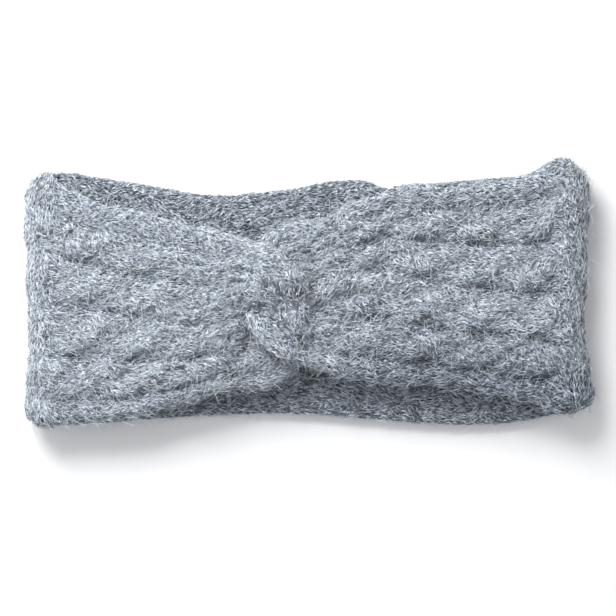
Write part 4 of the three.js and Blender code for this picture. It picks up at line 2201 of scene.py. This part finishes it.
    def _growth(self, along: Array, share: Array, outer: Array, gutter: Array) -> Array:
        """Where the fibres grow.

        Args:
            along: lengths along the knit.
            share: shares across it.
            outer: whether each place is on the outer skin.
            gutter: how deep in a gutter it is.

        Returns:
            The share of the fibres that each place has.
        """
        surface = self.surface
        on_outer = 1 - GROWTH.gutter_loss * gutter
        if isinstance(surface, FrontHalf):
            return np.where(outer, on_outer, GROWTH.inner_share) * surface.shown(along, share)
        from_edge = np.minimum(share, 1 - share) * surface.knit.width
        past_front = 1 - ease(from_edge, GROWTH.strip, GROWTH.strip_end)
        return np.where(outer, GROWTH.hidden_share * on_outer, past_front)

    def _fibre_shade(
        self, along: Array, share: Array, outer: Array, relief: Array, gutter: Array
    ) -> Array:
        """How much lighter or darker than their own tone the fibres are, as painted light and shade.

        Args:
            along: lengths along the knit.
            share: shares across it.
            outer: whether each place is on the outer skin.
            relief: how far it stands out, as a share of a cable's rise.
            gutter: how deep in a gutter it is.

        Returns:
            What is added to the tone at each place.
        """
        # Painted shade along the hooked edge, fading out near the twist.
        from_twist = ease(self._from_twist(share, along), GROWTH.shade_near, GROWTH.shade_far)
        from_hooked = ease(share * self.surface.knit.width, GROWTH.shade_from, GROWTH.shade_to)
        painted_edge_shade = (1 - from_hooked) * from_twist * self.shaded
        # Painted light on the crowns of the relief, and painted shade in its dents and gutters.
        lit = GROWTH.relief_tone * (relief - GROWTH.middle_relief) - GROWTH.gutter_tone * gutter
        # Painted shade darkens the fibres on the inner skin.
        return np.where(outer, lit, -GROWTH.inner_tone) - painted_edge_shade


@dataclass(frozen=True)
class SoftLight:
    """A square soft light that faces the origin.

    Attributes:
        name: its name.
        place: where it is, in metres.
        size: how wide it is, in metres.
        power: its power, in watts.
        colour: its colour, in linear light.
    """

    name: str
    place: tuple[float, float, float]
    size: float
    power: float
    colour: tuple[float, float, float]

    def build(self) -> None:
        """Hangs the light."""
        data = bpy.data.lights.new(self.name, "AREA")
        data.size = self.size
        data.energy = self.power
        data.color = self.colour
        light = bpy.data.objects.new(self.name, data)
        light.location = self.place
        light.rotation_euler = mathutils.Vector(self.place).to_track_quat("Z", "Y").to_euler()
        bpy.context.scene.collection.objects.link(light)


LIGHTS = (
    SoftLight("key", (-0.28, 0.5, 0.48), size=0.4, power=7.6, colour=(1.0, 0.995, 0.985)),
    SoftLight("fill", (-0.9, -0.1, 0.9), size=1.0, power=3.0, colour=(0.95, 0.97, 1.0)),
)


@dataclass(frozen=True)
class Studio:
    """The floor, the lights and the camera, looking straight down.

    Attributes:
        centre: what the middle of the picture looks at, in the panels' own millimetres.
        frame_width: how wide the picture is there.
        aim_height: how high above the floor that is.
        lens: the camera's focal length.
        sensor: the width of the camera's sensor.
        floor_size: the width of the floor, in metres.
        floor_colour: the floor's colour, in linear light.
        floor_roughness: how dull the floor is.
        sky_colour: the colour of the light from all round.
        sky_strength: its strength.
    """

    centre: tuple[float, float] = (0.2, -5.9)
    frame_width: float = 258.9
    aim_height: float = 20.0
    lens: float = 100.0
    sensor: float = 36.0
    floor_size: float = 3.0
    floor_colour: tuple[float, float, float, float] = (0.9, 0.9, 0.905, 1)
    floor_roughness: float = 0.9
    sky_colour: tuple[float, float, float, float] = (0.97, 0.98, 1.0, 1)
    sky_strength: float = 0.55

    def build(self, shop: Workshop) -> None:
        """Sets the studio up.

        Args:
            shop: what the panels are made with, which knows their place in the frame.
        """
        self._floor()
        self._sky()
        self._camera(shop.place(np.array([[*self.centre, self.aim_height]]))[0])
        for light in LIGHTS:
            light.build()

    def _floor(self) -> None:
        """Lays the pale floor."""
        half = self.floor_size / 2
        corners = np.array([[-half, -half, 0], [half, -half, 0], [half, half, 0], [-half, half, 0]])
        floor = mesh_object("floor", corners, [(0, 1, 2, 3)])
        material = bpy.data.materials.new("pale_floor")
        material.use_nodes = True
        shader = material.node_tree.nodes["Principled BSDF"]
        shader.inputs["Base Color"].default_value = self.floor_colour
        shader.inputs["Roughness"].default_value = self.floor_roughness
        floor.data.materials.append(material)
        floor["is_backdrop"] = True

    def _sky(self) -> None:
        """Makes the soft light from all round."""
        world = bpy.data.worlds.new("studio")
        world.use_nodes = True
        sky = world.node_tree.nodes["Background"]
        sky.inputs["Color"].default_value = self.sky_colour
        sky.inputs["Strength"].default_value = self.sky_strength
        bpy.context.scene.world = world
        bpy.context.scene.view_settings.view_transform = "Standard"

    def _camera(self, aim: Array) -> None:
        """Sets the camera straight above its aim.

        Args:
            aim: what it looks at, in metres.
        """
        data = bpy.data.cameras.new("camera")
        data.lens = self.lens
        data.sensor_width = self.sensor
        distance = self.frame_width * MM * self.lens / self.sensor
        camera = bpy.data.objects.new("camera", data)
        camera.location = (aim[0], aim[1], aim[2] + distance)
        bpy.context.scene.collection.objects.link(camera)
        bpy.context.scene.camera = camera


def own_box(surfaces: list[FrontHalf | BackPanel], rows: int = 120) -> tuple[Array, Array]:
    """The box round all the panels, in their own millimetres.

    Args:
        surfaces: where the panels' knit lies.
        rows: how many rows of each one are measured.

    Returns:
        Its lowest and its highest corner.
    """
    clouds = []
    for surface in surfaces:
        lengths = np.linspace(0, surface.length, rows)
        along, share = np.meshgrid(lengths, surface.knit.cuts(), indexing="ij")
        relief = surface.knit.relief(share, along)
        clouds.append(surface.point(along, share, Skin.OUTER, relief).reshape(-1, 3))
    cloud = np.concatenate(clouds)
    return cloud.min(axis=0), cloud.max(axis=0)


def main() -> None:
    """Builds the headband and its studio, and measures the two boxes."""
    logging.basicConfig(level=logging.INFO, format="%(message)s")
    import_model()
    cad_low, cad_high = (list(corner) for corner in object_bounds())
    left = FrontHalf(
        "left_front_panel",
        facing=1,
        corners=(0.92, 1.02),
        edges=LEFT_EDGES,
        fold=LEFT_FOLD,
        hook=(31.0, 27.0),
        first_crossing=5.4,
    )
    right = FrontHalf(
        "right_front_panel",
        facing=-1,
        corners=(0.9, 0.99),
        edges=RIGHT_EDGES,
        fold=RIGHT_FOLD,
        hook=(30.0, 29.0),
        first_crossing=20.2,
    )
    back = BackPanel(left, right)
    low, high = own_box([left, right, back])
    shift = (np.array(cad_low) + np.array(cad_high)) / MM / 2 - (low + high) / 2
    shift[2] = 0
    shop = Workshop.opened(shift)
    panels = (
        Panel(
            back,
            flat=(0.1065, 0.2426),
            upper=Skin.INNER,
            fuzz=replace(SHORT_FIBRES, density=3.3, seed=31),
            strays=replace(LONG_FIBRES, density=0.12, seed=1031),
        ),
        Panel(
            left,
            flat=(0.1065, 0.112),
            upper=Skin.OUTER,
            fuzz=SHORT_FIBRES,
            strays=LONG_FIBRES,
            wrinkles=LEFT_WRINKLES,
        ),
        Panel(
            right,
            flat=(0.1065, 0.134),
            upper=Skin.OUTER,
            fuzz=replace(SHORT_FIBRES, density=7.6, seed=21),
            strays=replace(LONG_FIBRES, density=0.22, seed=1021),
            # Painted shade darkens the fibres along this half's hooked edge.
            shaded=0.24,
            gutters=1.0,
            steady=0.75,
            wrinkles=RIGHT_WRINKLES,
        ),
    )
    for panel in panels:
        for piece in panel.build(shop):
            piece.data.calc_loop_triangles()
            LOG.info("%s: %d triangles", piece.name, len(piece.data.loop_triangles))
    Studio().build(shop)
    shop.close()
    low, high = (list(corner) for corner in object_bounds())


if __name__ == "__main__":
    main()
